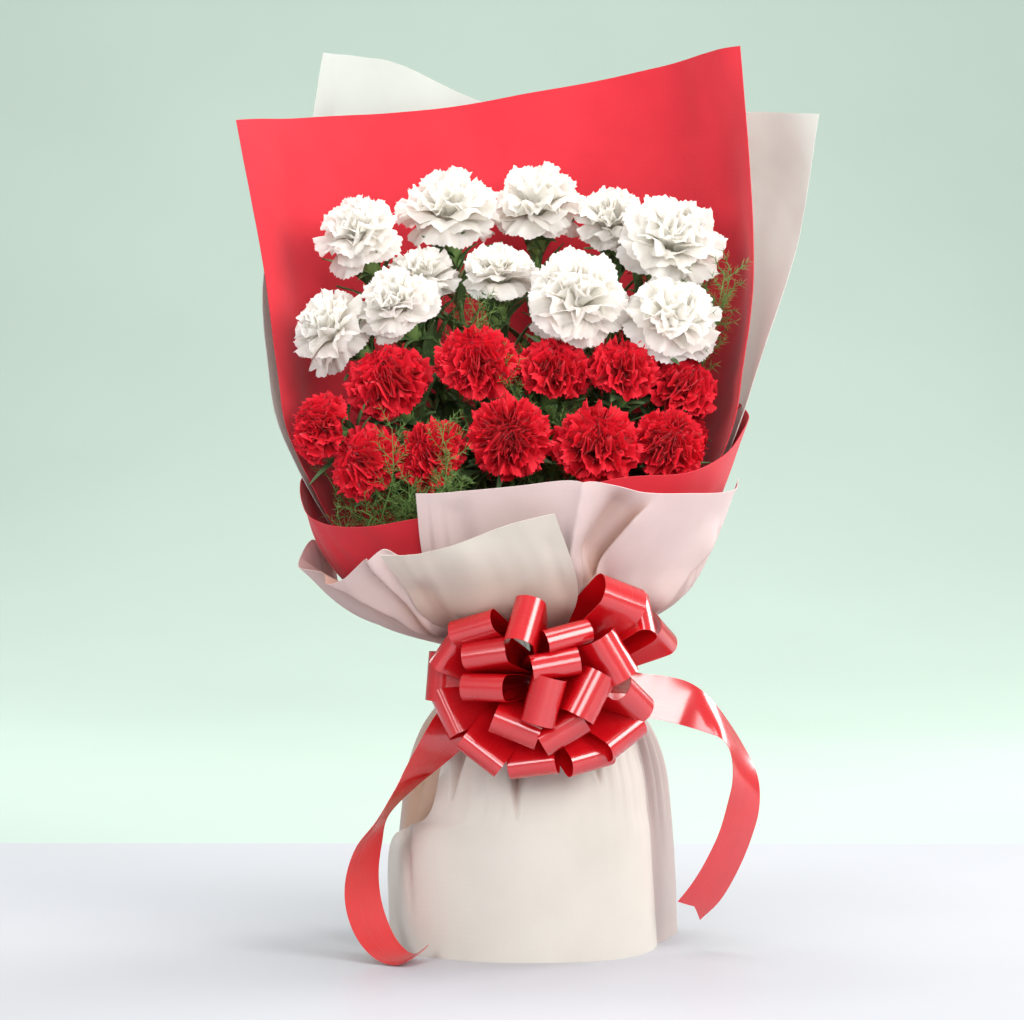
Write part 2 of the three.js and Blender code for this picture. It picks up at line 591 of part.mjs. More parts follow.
// One side of a loop leaves the hub, goes round the end's half circle and comes back.
function loopSolid([end, slope, endRadius]) {
  const hub = vec(BOW_HUB);
  const outward = vec(end).sub(hub);
  const reach = outward.length();
  outward.normalize();
  const angle = THREE.MathUtils.degToRad(slope);
  const width = new THREE.Vector3(Math.cos(angle), 0, Math.sin(angle));
  width.addScaledVector(outward, -width.dot(outward)).normalize();
  const lift = outward.clone().cross(width);
  const middles = [];
  for (let i = 0; i <= LOOP_STEPS; i++) {
    const turn = (Math.PI * i) / LOOP_STEPS - Math.PI / 2;
    middles.push(
      hub.clone()
        .addScaledVector(outward, reach + endRadius * LOOP_END_DEPTH * Math.cos(turn))
        .addScaledVector(lift, endRadius * Math.sin(turn)),
    );
  }
  const root = hub.clone().addScaledVector(outward, LOOP_ROOT);
  middles.unshift(root.clone().addScaledVector(lift, -LOOP_ROOT_GAP / 2));
  middles.push(root.clone().addScaledVector(lift, LOOP_ROOT_GAP / 2));
  const halves = middles.map((_, i) => {
    const ends = i === 0 || i === middles.length - 1;
    return width.clone().multiplyScalar((RIBBON_WIDTH / 2) * (ends ? LOOP_ROOT_WIDTH : 1));
  });
  return stripSolid(middles, halves);
}

function rosetteSolid() {
  const hub = new THREE.IcosahedronGeometry(BOW_HUB_RADIUS, 0);
  hub.translate(...BOW_HUB);
  return fuse([solidOf(hub), ...BOW_LOOPS.map(loopSolid)]);
}

// Tails: middle of the ribbon and its half width, from the band outwards.
const TAIL_LEFT = [
  [[-10, -37.4, WAIST_Z], [0.5, -1, 7.5]],
  [[-22, -50, 157], [-1, -1, 13]],
  [[-42, -62, 139], [-7, -3, 11.7]],
  [[-58, -64, 118], [-9, -10, 4]],
  [[-73, -64, 99], [-6, -13, 0]],
  [[-86, -62, 82], [-3, -13.7, 0]],
  [[-94, -60, 66], [-7, -12, 0]],
  [[-98, -60, 48], [-9, -10.7, 0]],
  [[-97, -62, 31], [-10, -9.8, 0]],
  [[-91, -67, 15], [-10, -9.8, 0]],
  [[-82, -74, 5], [-8, -11.4, -1]],
  [[-72, -80, 2.2], [-5, -13, -1]],
  [[-62, -84, 8], [-3, -13.6, -1]],
];
const TAIL_RIGHT = [
  [[16, -35.3, WAIST_Z], [0.5, 1, 7.5]],
  [[38, -50, 159], [2, 4, 13.2]],
  [[60, -49, 153], [3, 5, 12.7]],
  [[76, -43, 151], [4, 6, 12]],
  [[91, -38, 147], [3, 7, 11.8]],
  [[104, -38, 141], [1, 10, 10]],
  [[114, -38, 133], [1, 12.6, 6]],
  [[122, -38, 120], [4, 13.2, 2]],
  [[127, -38, 103], [8, 11.4, 0]],
  [[126, -38, 86], [10, 9.6, -2]],
  [[121, -38, 68], [10, 9.3, -3]],
  [[113, -38, 50], [10, 9, -4]],
  [[104, -38, 35], [9, 9, -6]],
  [[94, -38, 24], [7, 10, -7]],
];
const BAND_LAYER = 8;
const BAND_HEIGHT = 16;
const BAND_THICKNESS = 1.2; // several turns of the ribbon
const BAND_SIDES = 20;

function ribbonSolid() {
  const inner = layerRadius(BAND_LAYER);
  const corners = [[0, -0.5], [1, -0.5], [1, 0.5], [0, 0.5], [0, -0.5]];
  const section = corners.map(
    ([out, up]) => new THREE.Vector2(inner + out * BAND_THICKNESS, WAIST_Z + up * BAND_HEIGHT),
  );
  const band = new THREE.LatheGeometry(section, BAND_SIDES);
  band.rotateX(Math.PI / 2);
  const tails = [TAIL_LEFT, TAIL_RIGHT].map((tail) =>
    stripSolid(tail.map(([middle]) => vec(middle)), tail.map(([, half]) => vec(half))),
  );
  return fuse([solidOf(facingOut(mergedPositions(band))), ...tails]);
}

function mergedPositions(geometry) {
  geometry.deleteAttribute('normal');
  geometry.deleteAttribute('uv');
  return mergeVertices(geometry, 1e-4);
}

// ---------------------------------------------------------------- string tie
const TIE_RADIUS = 20.2;
const TIE_THICKNESS = 1.6;
const TIE_HEIGHT = 5; // three turns of string, side by side
const TIE_SIDES = 16;

function tieSolid() {
  const corners = [[1, 0], [0, 1], [-1, 0], [0, -1], [1, 0]];
  const section = corners.map(
    ([out, up]) => new THREE.Vector2(TIE_RADIUS + (out * TIE_THICKNESS) / 2, WAIST_Z + (up * TIE_HEIGHT) / 2),
  );
  const tie = new THREE.LatheGeometry(section, TIE_SIDES);
  tie.rotateX(Math.PI / 2);
  return solidOf(facingOut(mergedPositions(tie)));
}

// ---------------------------------------------------------------- the bunch
const bunch = new THREE.Group();
const placed = []; // every solid so far, with the box that it fills

function place(name, solid, colour, roughness) {
  const material = new THREE.MeshStandardMaterial({ color: colour, roughness, metalness: 0 });
  const mesh = new THREE.Mesh(geometryOf(solid), material);
  mesh.name = name;
  bunch.add(mesh);
}

function remember(name, solid) {
  const box = solid.boundingBox();
  placed.push({ name, solid, box });
}

function isClear(solid, own) {
  const box = solid.boundingBox();
  return placed.every((other) => {
    if (other.name === own) return true;
    const apart = [0, 1, 2].some((k) => box.min[k] > other.box.max[k] || box.max[k] < other.box.min[k]);
    return apart || solid.intersect(other.solid).volume() === 0;
  });
}

// Each sheet's net, its colour and its facets between two points of a row.
const SHEETS = {
  back_sheet_red: [BACK_RED, COLOURS.redSheet, 2],
  back_sheet_cream: [BACK_CREAM, COLOURS.creamSheet, 2],
  collar_red: [COLLAR, COLOURS.redSheet, 2],
  front_sheet_right: [FRONT_RIGHT, COLOURS.creamSheet, 2],
  side_wing_left: [WING_LEFT, COLOURS.creamSheet, 2],
  front_sheet_left: [FRONT_LEFT, COLOURS.creamSheet, 2],
  skirt_back: [SKIRT_BACK, COLOURS.creamSheet, 1],
  skirt_front: [SKIRT_FRONT, COLOURS.creamSheet, 2],
};
for (const [name, [net, colour, stepsAlong]] of Object.entries(SHEETS)) {
  const solid = solidOf(sheetGeometry(net, stepsAlong));
  remember(name, solid);
  place(name, solid, colour, 0.85);
}

const tie = tieSolid();
remember('stem_tie', tie);
place('stem_tie', tie, COLOURS.string, 0.9);

const stems = [];
for (const [colour, blooms, slots] of STEM_ROWS) {
  blooms.forEach((bloom, i) => {
    const head = bloomSolid(bloom);
    remember(`bloom_${colour}_${bloom[0]}`, head);
    place(`bloom_${colour}_${bloom[0]}`, head, colour === 'red' ? COLOURS.redPetal : COLOURS.whitePetal, 0.8);
    const name = `stem_${colour}_${bloom[0]}`;
    const solid = stemSolid(slots[i], bloom);
    remember(name, solid);
    stems.push({ name, solid, curve: stemCurve(slots[i], bloom) });
  });
}

// Fern branches, with needles all round them wherever a needle is clear of everything else.
for (const [name, branches] of FERN_SPRAYS) {
  const curves = branches.map((points) => splineThrough(points.map(vec)));
  const pieces = curves.map(branchSolid);
  curves.forEach((curve, branch) => {
    for (let i = 0; i < NEEDLES_PER_BRANCH; i++) {
      const t = THREE.MathUtils.lerp(NEEDLE_STARTS[branch], BRANCH_END, i / (NEEDLES_PER_BRANCH - 1));
      const along = curve.getTangent(t);
      const side = new THREE.Vector3(1, 0, 0).applyMatrix4(
        frameAt(new THREE.Vector3(), along, i * GOLDEN_ANGLE),
      );
      const direction = side.multiplyScalar(NEEDLE_OUT).addScaledVector(along, NEEDLE_AHEAD).normalize();
      const root = curve.getPoint(t);
      if (isClear(needleSolid(root, direction, NEEDLE_LENGTH, CLEARANCE), name)) {
        pieces.push(needleSolid(root, direction, NEEDLE_LENGTH));
      }
    }
  });
  const spray = fuse(pieces);
  remember(name, spray);
  place(name, spray, COLOURS.fern, 0.7);
}

// Leaves: each turns round its stem until it is clear, and grows shorter where the bunch is dense.
stems.forEach(({ name, solid, curve }, stem) => {
  const t = LEAF_PLACES[stem % LEAF_PLACES.length];
  let leafy = solid;
  for (let attempt = 0; attempt < LEAF_TRIES; attempt++) {
    const azimuth = (stem + attempt) * GOLDEN_ANGLE;
    const length = LEAF_LENGTH * THREE.MathUtils.lerp(1, LEAF_SHORTEST, attempt / LEAF_TRIES);
    const blade = [curve.getPoint(t), curve.getTangent(t), azimuth, length];
    if (isClear(leafSolid(...blade, CLEARANCE), name)) {
      leafy = leafy.add(leafSolid(...blade));
      break;
    }
  }
  Object.assign(placed.find((entry) => entry.name === name), { solid: leafy, box: leafy.boundingBox() });
  place(name, leafy, COLOURS.stem, 0.75);
});

place('ribbon', ribbonSolid(), COLOURS.ribbon, 0.3);
place('bow_rosette', rosetteSolid(), COLOURS.ribbon, 0.3);

// The origin lies under the middle of the whole bunch, on the table.
const box = new THREE.Box3().setFromObject(bunch);
const middle = box.getCenter(new THREE.Vector3());
bunch.position.set(-middle.x, -middle.y, 0);

export default bunch;
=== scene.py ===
"""A hand-tied bunch of red and white carnations in its florist's wrap, dressed for a studio picture.

The bunch is drawn in millimetres round the axis of its stems, and each mesh is then moved to the place that
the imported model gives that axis.
"""

import logging
import math
from dataclasses import dataclass, field
from enum import Enum
from functools import cache

import bpy
import numpy as np
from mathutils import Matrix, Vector

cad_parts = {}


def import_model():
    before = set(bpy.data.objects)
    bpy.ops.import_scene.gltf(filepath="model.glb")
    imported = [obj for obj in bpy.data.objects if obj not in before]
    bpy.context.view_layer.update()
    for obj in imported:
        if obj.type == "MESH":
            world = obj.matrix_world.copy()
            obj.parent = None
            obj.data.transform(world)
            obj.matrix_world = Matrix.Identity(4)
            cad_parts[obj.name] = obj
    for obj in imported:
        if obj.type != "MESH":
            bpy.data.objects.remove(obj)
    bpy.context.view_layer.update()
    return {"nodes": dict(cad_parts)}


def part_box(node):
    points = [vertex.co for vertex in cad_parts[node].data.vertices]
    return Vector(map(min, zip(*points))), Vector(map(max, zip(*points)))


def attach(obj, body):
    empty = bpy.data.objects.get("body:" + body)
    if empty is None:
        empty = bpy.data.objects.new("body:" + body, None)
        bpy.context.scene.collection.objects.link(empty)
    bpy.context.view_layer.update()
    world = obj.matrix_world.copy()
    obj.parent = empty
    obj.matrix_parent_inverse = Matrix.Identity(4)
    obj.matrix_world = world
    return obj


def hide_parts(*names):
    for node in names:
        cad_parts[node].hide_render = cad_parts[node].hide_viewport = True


LOG = logging.getLogger("carnations")

Array = np.ndarray
Point = tuple[float, float, float]
Row = tuple[Point, ...]
Colour = tuple[float, float, float]
Socket = bpy.types.NodeSocket
Material = bpy.types.Material

MM = 0.001
TURN = 2 * math.pi
GOLDEN_ANGLE = math.pi * (3 - math.sqrt(5))

# ---------------------------------------------------------------- driving dimensions, in mm
WAIST_Z = 161.0
WAIST_FOOT_Z = 151.0
WAIST_TOP_Z = 172.0
WAIST_EASE = 0.6
WAIST_PITCH = 1.95
INNER_LAYER_RADIUS = 22.6
SKIRT_LAYER = 6
BAND_LAYER = 8
STEM_RADIUS = 2.1
STEM_TAPER = 0.15
STEM_PITCH = 5.4
STEM_ROW_PITCH = 4.7
STEM_BEND_START_Z = 176.0
STEM_BEND_PULL = 0.3
CALYX_RADIUS = 5.6
CALYX_LENGTH = 24.0
RIBBON_WIDTH = 28.0


# ---------------------------------------------------------------- curves and grids
def smoothstep(low: float, high: float, value: Array) -> Array:
    """A share that rises smoothly from 0 where the value is low to 1 where it is high."""
    share = np.clip((value - low) / (high - low), 0.0, 1.0)
    return share * share * (3 - 2 * share)


def together(*parts: Array | float) -> Array:
    """The parts side by side, as the last axis of one array."""
    return np.stack(np.broadcast_arrays(*parts), axis=-1)


def catmull_weights(count: int, places: Array) -> Array:
    """Weights of the points that a smooth curve goes through.

    Args:
        count: How many points the curve has.
        places: Places along the curve, from 0 at its start to 1 at its end.

    Returns:
        A row of weights for each place, with a column for each point.
    """
    along = np.clip(places, 0.0, 1.0) * (count - 1)
    first = np.minimum(along.astype(int), count - 2)
    t = along - first
    shares = (-t + 2 * t**2 - t**3, 2 - 5 * t**2 + 3 * t**3, t + 4 * t**2 - 3 * t**3, -(t**2) + t**3)
    padded = np.zeros((len(along), count + 2))
    for offset, share in enumerate(shares):
        padded[np.arange(len(along)), first + offset] += 0.5 * share
    weights = padded[:, 1:-1].copy()
    for edge, beside, outside in ((0, 1, 0), (-1, -2, -1)):
        weights[:, edge] += 2 * padded[:, outside]
        weights[:, beside] -= padded[:, outside]
    return weights


def smooth_line(points: Array, places: Array) -> Array:
    """Points along the smooth curve through the given ones, at places from 0 to 1."""
    return catmull_weights(len(points), places) @ np.asarray(points, float)


def unit(vectors: Array) -> Array:
    """The same vectors at length 1."""
    return vectors / np.maximum(np.linalg.norm(vectors, axis=-1, keepdims=True), 1e-9)


def stations(line: Array, places: Array) -> tuple[Array, Array]:
    """Points along the smooth curve through a line's points, and the curve's directions there."""
    ahead = smooth_line(line, places + 0.01) - smooth_line(line, places - 0.01)
    return smooth_line(line, places), unit(ahead)


def bezier(t: Array | float, a: Array, b: Array, c: Array, d: Array) -> tuple[Array, Array]:
    """Points of a cubic curve between a and d, and its slopes there.

    Args:
        t: Places along the curve, from 0 to 1.
        a: Where it starts.
        b: The point that it starts towards.
        c: The point that it ends away from.
        d: Where it ends.

    Returns:
        The points and the slopes.
    """
    left = 1 - t
    points = left**3 * a + 3 * t * left**2 * b + 3 * t**2 * left * c + t**3 * d
    return points, 3 * (left**2 * (b - a) + 2 * t * left * (c - b) + t**2 * (d - c))


def sheet_normals(grid: Array) -> Array:
    """Unit normals of a grid of points, as (columns, rows, 3), which stay level along a hem on the floor."""
    normals = unit(np.cross(np.gradient(grid, axis=0), np.gradient(grid, axis=1)))
    return unit(np.where((grid[..., 2:] < 0.01) & (np.arange(3) == 2), 0.0, normals))


def turned_to(direction: Array) -> Array:
    """A rotation that turns the Z axis to a direction.

    Args:
        direction: The direction.

    Returns:
        Its matrix, whose third column is the direction.
    """
    ahead = unit(np.asarray(direction, float))
    helper = np.array([0.0, 0.0, 1.0]) if abs(ahead[2]) < 0.95 else np.array([1.0, 0.0, 0.0])
    side = unit(np.cross(helper, ahead))
    return np.stack([side, np.cross(ahead, side), ahead], axis=1)


def sideways(direction: Array, azimuth: float) -> Array:
    """A unit vector square to a direction, at an azimuth round it."""
    return turned_to(direction) @ np.array([math.cos(azimuth), math.sin(azimuth), 0.0])


def travelled(path: Array) -> Array:
    """How far along a path each of its points is."""
    return np.cumsum(np.linalg.norm(np.diff(path, axis=0, prepend=path[:1]), axis=1))


def circle(sides: int) -> Array:
    """Angles evenly round a full turn."""
    return np.linspace(0, TURN, sides, endpoint=False)


def ring(angle: Array, radius: Array | float, height: Array | float) -> Array:
    """Points round the Z axis."""
    return together(radius * np.cos(angle), radius * np.sin(angle), height)


def grid_faces(index: Array) -> Array:
    """The corners of each cell of grids of point numbers."""
    corners = [index[..., :-1, :-1], index[..., 1:, :-1], index[..., 1:, 1:], index[..., :-1, 1:]]
    return np.stack(corners, axis=-1).reshape(-1, 4)


@cache
def axis_shift() -> Array:
    """Where the bunch's axis is in the frame, in mm: in the middle of the string tie."""
    low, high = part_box("stem_tie")
    return (np.array(low) + np.array(high)) / 2 / MM * [1.0, 1.0, 0.0]


def placed(name: str, data: bpy.types.ID) -> bpy.types.Object:
    """Puts data in the scene.

    Args:
        name: The object's name.
        data: Its mesh, light or camera.

    Returns:
        The object.
    """
    made = bpy.data.objects.new(name, data)
    bpy.context.scene.collection.objects.link(made)
    return made


# ---------------------------------------------------------------- finishes
class Recipe:
    """Builds the node tree of one material."""

    def __init__(self, name: str) -> None:
        """Starts an empty material.

        Args:
            name: The material's name.
        """
        self.material = bpy.data.materials.new(name)
        self.material.use_nodes = True
        self.tree = self.material.node_tree
        self.tree.nodes.clear()

    def node(
        self, kind: str, output: str | int, inputs: dict[str | int, object], **settings: object
    ) -> Socket:
        """Adds a node.

        Args:
            kind: Which node it is.
            output: The output to give back.
            inputs: Its inputs, each a socket to read or a fixed value.
            settings: Its properties.

        Returns:
            The output's socket.
        """
        made = self.tree.nodes.new("ShaderNode" + kind)
        for key, value in settings.items():
            setattr(made, key, value)
        for key, value in inputs.items():
            if isinstance(value, Socket):
                self.tree.links.new(value, made.inputs[key])
            else:
                made.inputs[key].default_value = value
        return made.outputs[output]

    def place(self) -> Socket:
        """The place on the piece, in metres."""
        return self.node("TexCoord", "Object", {})

    def surface(self, layer: str = "surface") -> Socket:
        """The piece's surface coordinates."""
        return self.node("UVMap", "UV", {}, uv_map=layer)

    def split(self, vector: Socket, axis: str) -> Socket:
        """One part of a vector."""
        return self.node("SeparateXYZ", axis, {"Vector": vector})

    def noise(self, place: Socket, scale: float, detail: float = 3.0) -> Socket:
        """A noise pattern between 0 and 1."""
        return self.node("TexNoise", "Fac", {"Vector": place, "Scale": scale, "Detail": detail})

    def grain(self, across: float, along: float, detail: float = 3.0) -> Socket:
        """A noise pattern on the piece's surface, scaled apart across it and along it."""
        place = self.node("Mapping", "Vector", {"Vector": self.surface(), "Scale": (across, along, 1.0)})
        return self.noise(place, 1.0, detail)

    def ramp(self, factor: Socket, *stops: tuple[float, Colour]) -> Socket:
        """A colour for each value of a factor.

        Args:
            factor: The socket to read.
            stops: Places from 0 to 1 with their colours.

        Returns:
            The colour's socket.
        """
        colour = self.node("ValToRGB", "Color", {"Fac": factor})
        elements = colour.node.color_ramp.elements
        while len(elements) < len(stops):
            elements.new(0.5)
        for element, (place, shade) in zip(elements, stops):
            element.position = place
            element.color = (*shade, 1.0)
        return colour

    def spread(
        self,
        factor: Socket,
        low: float,
        high: float,
        start: float = 0.3,
        end: float = 0.7,
        kind: str = "LINEAR",
    ) -> Socket:
        """A factor's range from start to end, stretched from low to high."""
        inputs = {"Value": factor, "From Min": start, "From Max": end, "To Min": low, "To Max": high}
        return self.node("MapRange", "Result", inputs, interpolation_type=kind)

    def mixed(self, factor: Socket | float, first: Socket, second: Socket) -> Socket:
        """Two colours mixed, with the factor as the second one's share."""
        return self.node("Mix", 2, {0: factor, 6: first, 7: second}, data_type="RGBA")

    def summed(self, first: Socket, second: Socket, share: float = 1.0) -> Socket:
        """The first value plus a share of the second."""
        return self.node("Math", "Value", {0: second, 1: share, 2: first}, operation="MULTIPLY_ADD")

    def bump(self, height: Socket, depth: float, strength: float = 0.5) -> Socket:
        """Normals of a surface with a height of 0 to 1 that measures a depth in mm."""
        return self.node("Bump", "Normal", {"Height": height, "Distance": depth * MM, "Strength": strength})

    def finish(
        self, colour: Socket, roughness: Socket | float, see_through: float = 0.0, **constants: Socket | float
    ) -> Material:
        """Joins the surface together.

        Args:
            colour: The colour's socket.
            roughness: The roughness, as a socket or a number.
            see_through: The share of light that passes through the sheet.
            constants: Other inputs of the shader by name, with underscores for spaces.

        Returns:
            The material.
        """
        inputs = {"Base Color": colour, "Roughness": roughness}
        inputs.update({name.replace("_", " "): value for name, value in constants.items()})
        surface = self.node("BsdfPrincipled", "BSDF", inputs)
        if see_through > 0:
            passing = self.node("BsdfTranslucent", "BSDF", {"Color": colour})
            surface = self.node("MixShader", "Shader", {"Fac": see_through, 1: surface, 2: passing})
        output = self.tree.nodes.new("ShaderNodeOutputMaterial")
        self.tree.links.new(surface, output.inputs["Surface"])
        return self.material


def darker(share: float, colour: Colour) -> Colour:
    """A share of a colour."""
    return tuple(share * part for part in colour)


@dataclass(frozen=True)
class Finish:
    """One finish of the bunch or of the studio."""

    name: str

    @cache
    def material(self) -> Material:
        """The finish's material, made once for all that wears it."""
        return self.mix(Recipe(self.name))

    def mix(self, recipe: Recipe) -> Material:
        """Fills the finish's recipe."""
        raise NotImplementedError


@dataclass(frozen=True)
class TwoTone(Finish):
    """A finish that wanders between a lighter and a darker tone."""

    light: Colour
    dark: Colour

    def tones(self, recipe: Recipe, factor: Socket, start: float = 0.3, end: float = 0.7) -> Socket:
        """The dark tone where the factor is at its start, and the light one at its end."""
        return recipe.ramp(factor, (start, self.dark), (end, self.light))


@dataclass(frozen=True)
class WrapFinish(TwoTone):
    """A matt non-woven sheet with pressed fibres, small bonding points and faint clouding.

    Towards the waist and in its folds' hollows its colour turns to a painted shade: a tan that stands for the
    shade there.
    """

    see_through: float
    # gathered is the painted shade colour: a tan that stands for the shade near the waist and in the folds'
    # hollows. The share after it is how strongly that painted shade colours the sheet towards the waist.
    gathered: Colour = (0.48, 0.27, 0.205)
    painted_waist_shade_share: float = 0.0

    def mix(self, recipe: Recipe) -> Material:
        """Fills the sheet's recipe.

        Args:
            recipe: The recipe.

        Returns:
            The material.
        """
        clouds = recipe.noise(recipe.place(), 26.0, 4.0)
        weave = recipe.summed(recipe.grain(260.0, 2200.0, 4.0), recipe.grain(1900.0, 300.0, 4.0))
        cells = {"Vector": recipe.surface(), "Scale": 620.0, "Randomness": 0.25}
        points = recipe.node("TexVoronoi", "Distance", cells, feature="F1")
        pressed = recipe.spread(points, 0.0, 1.0, 0.12, 0.34, "SMOOTHSTEP")
        shade = darker(0.88, self.light)
        fine = recipe.ramp(recipe.spread(weave, -0.6, 0.5), (0.0, shade), (1.0, self.light))
        # Painted shade: the colour turns to the tan shade colour towards the waist, and where the fold-shade
        # map marks a hollow.
        height = recipe.split(recipe.place(), "Z")
        high, low = (WAIST_Z + 88.0) * MM, (WAIST_Z + 32.0) * MM
        painted_waist_shade = recipe.spread(height, 0.0, self.painted_waist_shade_share, high, low, "SMOOTHSTEP")
        share = recipe.summed(painted_waist_shade, recipe.split(recipe.surface("tone"), "X"))
        plain = recipe.mixed(0.45, self.tones(recipe, clouds, 0.32, 0.62), fine)
        painted_shade_tint = recipe.ramp(clouds, (0.3, self.gathered), (0.7, self.gathered))
        return recipe.finish(
            recipe.mixed(share, plain, painted_shade_tint),
            recipe.spread(weave, 0.92, 0.74),
            self.see_through,
            Normal=recipe.bump(recipe.summed(weave, pressed, 0.6), 0.10),
            Specular_IOR_Level=0.25,
            Sheen_Weight=0.12,
            Sheen_Roughness=0.5,
        )


@dataclass(frozen=True)
class RibbonFinish(TwoTone):
    """A glossy satin ribbon with fine ribs along its length."""

    def mix(self, recipe: Recipe) -> Material:
        """Fills the ribbon's recipe.

        Args:
            recipe: The recipe.

        Returns:
            The material.
        """
        ribs = recipe.grain(14.0, 1500.0, 2.0)
        clouds = recipe.noise(recipe.place(), 60.0)
        return recipe.finish(
            recipe.mixed(0.5, self.tones(recipe, ribs), self.tones(recipe, clouds, 0.35, 0.65)),
            recipe.spread(ribs, 0.28, 0.22),
            0.36,
            Normal=recipe.bump(ribs, 0.006),
            Specular_IOR_Level=0.8,
            Coat_Weight=1.0,
            Coat_Roughness=0.15,
            Coat_IOR=1.9,
        )


@dataclass(frozen=True)
class PetalFinish(Finish):
    """Soft petals: paler or deeper towards the throat, with fine veins and a tint of their own."""

    throat: Colour
    blade: Colour
    edge: Colour
    blush: Colour
    blush_share: float
    see_through: float
    sheen: float
    vein_depth: float

    def mix(self, recipe: Recipe) -> Material:
        """Fills the petals' recipe.

        Args:
            recipe: The recipe.

        Returns:
            The material.
        """
        surface = recipe.surface()
        stops = (0.15, self.throat), (0.55, self.blade), (0.9, self.blade), (1.0, self.edge)
        along = recipe.ramp(recipe.split(surface, "Y"), *stops)
        veins = recipe.grain(34.0, 2.4)
        petal = recipe.node("Math", "Value", {0: recipe.split(surface, "X")}, operation="FLOOR")
        own = recipe.node("TexWhiteNoise", "Value", {"W": petal}, noise_dimensions="1D")
        patches = recipe.spread(recipe.noise(recipe.place(), 130.0), 0.0, self.blush_share)
        mask = recipe.node("Math", "Value", {0: own, 1: patches}, operation="MULTIPLY")
        blushed = recipe.mixed(mask, along, recipe.ramp(veins, (0.0, self.blush), (1.0, self.blush)))
        soft = recipe.ramp(veins, (0.35, darker(0.86, self.blade)), (0.6, self.blade))
        return recipe.finish(
            recipe.mixed(0.3, blushed, soft),
            recipe.spread(veins, 0.72, 0.58),
            self.see_through,
            Normal=recipe.bump(veins, self.vein_depth),
            Specular_IOR_Level=0.3,
            Sheen_Weight=self.sheen,
            Sheen_Roughness=0.4,
        )


@dataclass(frozen=True)
class GreenFinish(TwoTone):
    """Fresh green tissue with streaks along it and a waxy bloom."""

    streaks: float
    roughness: float
    see_through: float = 0.0

    def mix(self, recipe: Recipe) -> Material:
        """Fills the tissue's recipe.

        Args:
            recipe: The recipe.

        Returns:
            The material.
        """
        streaks = recipe.grain(30.0, self.streaks)
        clouds = recipe.noise(recipe.place(), 90.0, 4.0)
        return recipe.finish(
            recipe.mixed(0.5, self.tones(recipe, streaks), self.tones(recipe, clouds, 0.35, 0.65)),
            recipe.spread(clouds, self.roughness + 0.1, self.roughness - 0.08),
            self.see_through,
            Normal=recipe.bump(streaks, 0.12),
            Specular_IOR_Level=0.4,
        )


@dataclass(frozen=True)
class StringFinish(TwoTone):
    """Twisted natural string."""

    def mix(self, recipe: Recipe) -> Material:
        """Fills the string's recipe.

        Args:
            recipe: The recipe.

        Returns:
            The material.
        """
        inputs = {"Vector": recipe.place(), "Scale": 420.0, "Distortion": 3.0}
        twist = recipe.node("TexWave", "Fac", inputs, wave_type="BANDS", bands_direction="DIAGONAL")
        relief = recipe.bump(twist, 0.4, 0.8)
        roughness = recipe.spread(twist, 0.95, 0.8)
        return recipe.finish(self.tones(recipe, twist, 0.1, 0.8), roughness, Normal=relief)


@dataclass(frozen=True)
class StudioFinish(TwoTone):
    """A plain pale studio surface."""

    roughness: float

    def mix(self, recipe: Recipe) -> Material:
        """Fills the surface's recipe."""
        return recipe.finish(self.tones(recipe, recipe.noise(recipe.place(), 3.0)), self.roughness)


RED_SHEET = WrapFinish("red_sheet", (0.66, 0.026, 0.042), (0.57, 0.018, 0.032), 0.12)
CREAM_SHEET = WrapFinish("cream_sheet", (0.71, 0.67, 0.61), (0.66, 0.615, 0.55), 0.24)
# The front cream sheet darkens to painted shade towards the waist.
FRONT_SHEET = WrapFinish(
    "cream_front_sheet", (0.70, 0.65, 0.58), (0.65, 0.595, 0.52), 0.24, painted_waist_shade_share=0.75
)
BACK_SHEET = WrapFinish("cream_back_sheet", (0.71, 0.73, 0.69), (0.66, 0.68, 0.64), 0.45)
# Cream tinted pink: painted light that stands for the red collar's light shining through the sheet. It also
# darkens to painted shade towards the waist.
RED_GLOW_CREAM_SHEET = WrapFinish(
    "cream_sheet_painted_red_glow", (0.77, 0.63, 0.61), (0.70, 0.56, 0.53), 0.24, painted_waist_shade_share=0.35
)
# Cream, with a pink cast that is a painted reflection of the red ribbon beside it; its tan last colour is the
# painted shade inside the skirt's left flap.
SKIRT_LINING = WrapFinish(
    "cream_skirt_lining", (0.78, 0.70, 0.67), (0.73, 0.645, 0.61), 0.5, (0.74, 0.49, 0.33)
)
RED_RIBBON = RibbonFinish("red_ribbon", (0.78, 0.008, 0.016), (0.70, 0.005, 0.011))
WHITE_PETAL = PetalFinish(
    "white_petal", (0.86, 0.87, 0.66), (0.95, 0.935, 0.885), (0.965, 0.955, 0.92), (0.92, 0.81, 0.80),
    0.4, 0.5, 0.04, 0.06,
)
# The red petals' very dark throat colour is partly their deeper red base and partly painted shade deep in the
# bloom.
RED_PETAL = PetalFinish(
    "red_petal", (0.10, 0.001, 0.003), (0.62, 0.004, 0.016), (0.90, 0.012, 0.036), (0.34, 0.002, 0.009),
    0.6, 0.05, 0.08, 0.1,
)
GREEN_STEM = GreenFinish("green_stem", (0.26, 0.40, 0.13), (0.13, 0.24, 0.06), 26.0, 0.5)
GREEN_LEAF = GreenFinish("green_leaf", (0.16, 0.26, 0.10), (0.06, 0.13, 0.045), 9.0, 0.5, 0.2)
FERN_GREEN = GreenFinish("fern_green", (0.22, 0.35, 0.09), (0.10, 0.20, 0.045), 6.0, 0.55, 0.22)
TIE_STRING = StringFinish("tie_string", (0.62, 0.52, 0.32), (0.34, 0.26, 0.14))
FLOOR = StudioFinish("studio_floor", (0.44, 0.44, 0.47), (0.42, 0.42, 0.445), 0.5)
BACKDROP = StudioFinish("studio_backdrop", (0.395, 0.485, 0.425), (0.38, 0.465, 0.405), 0.9)


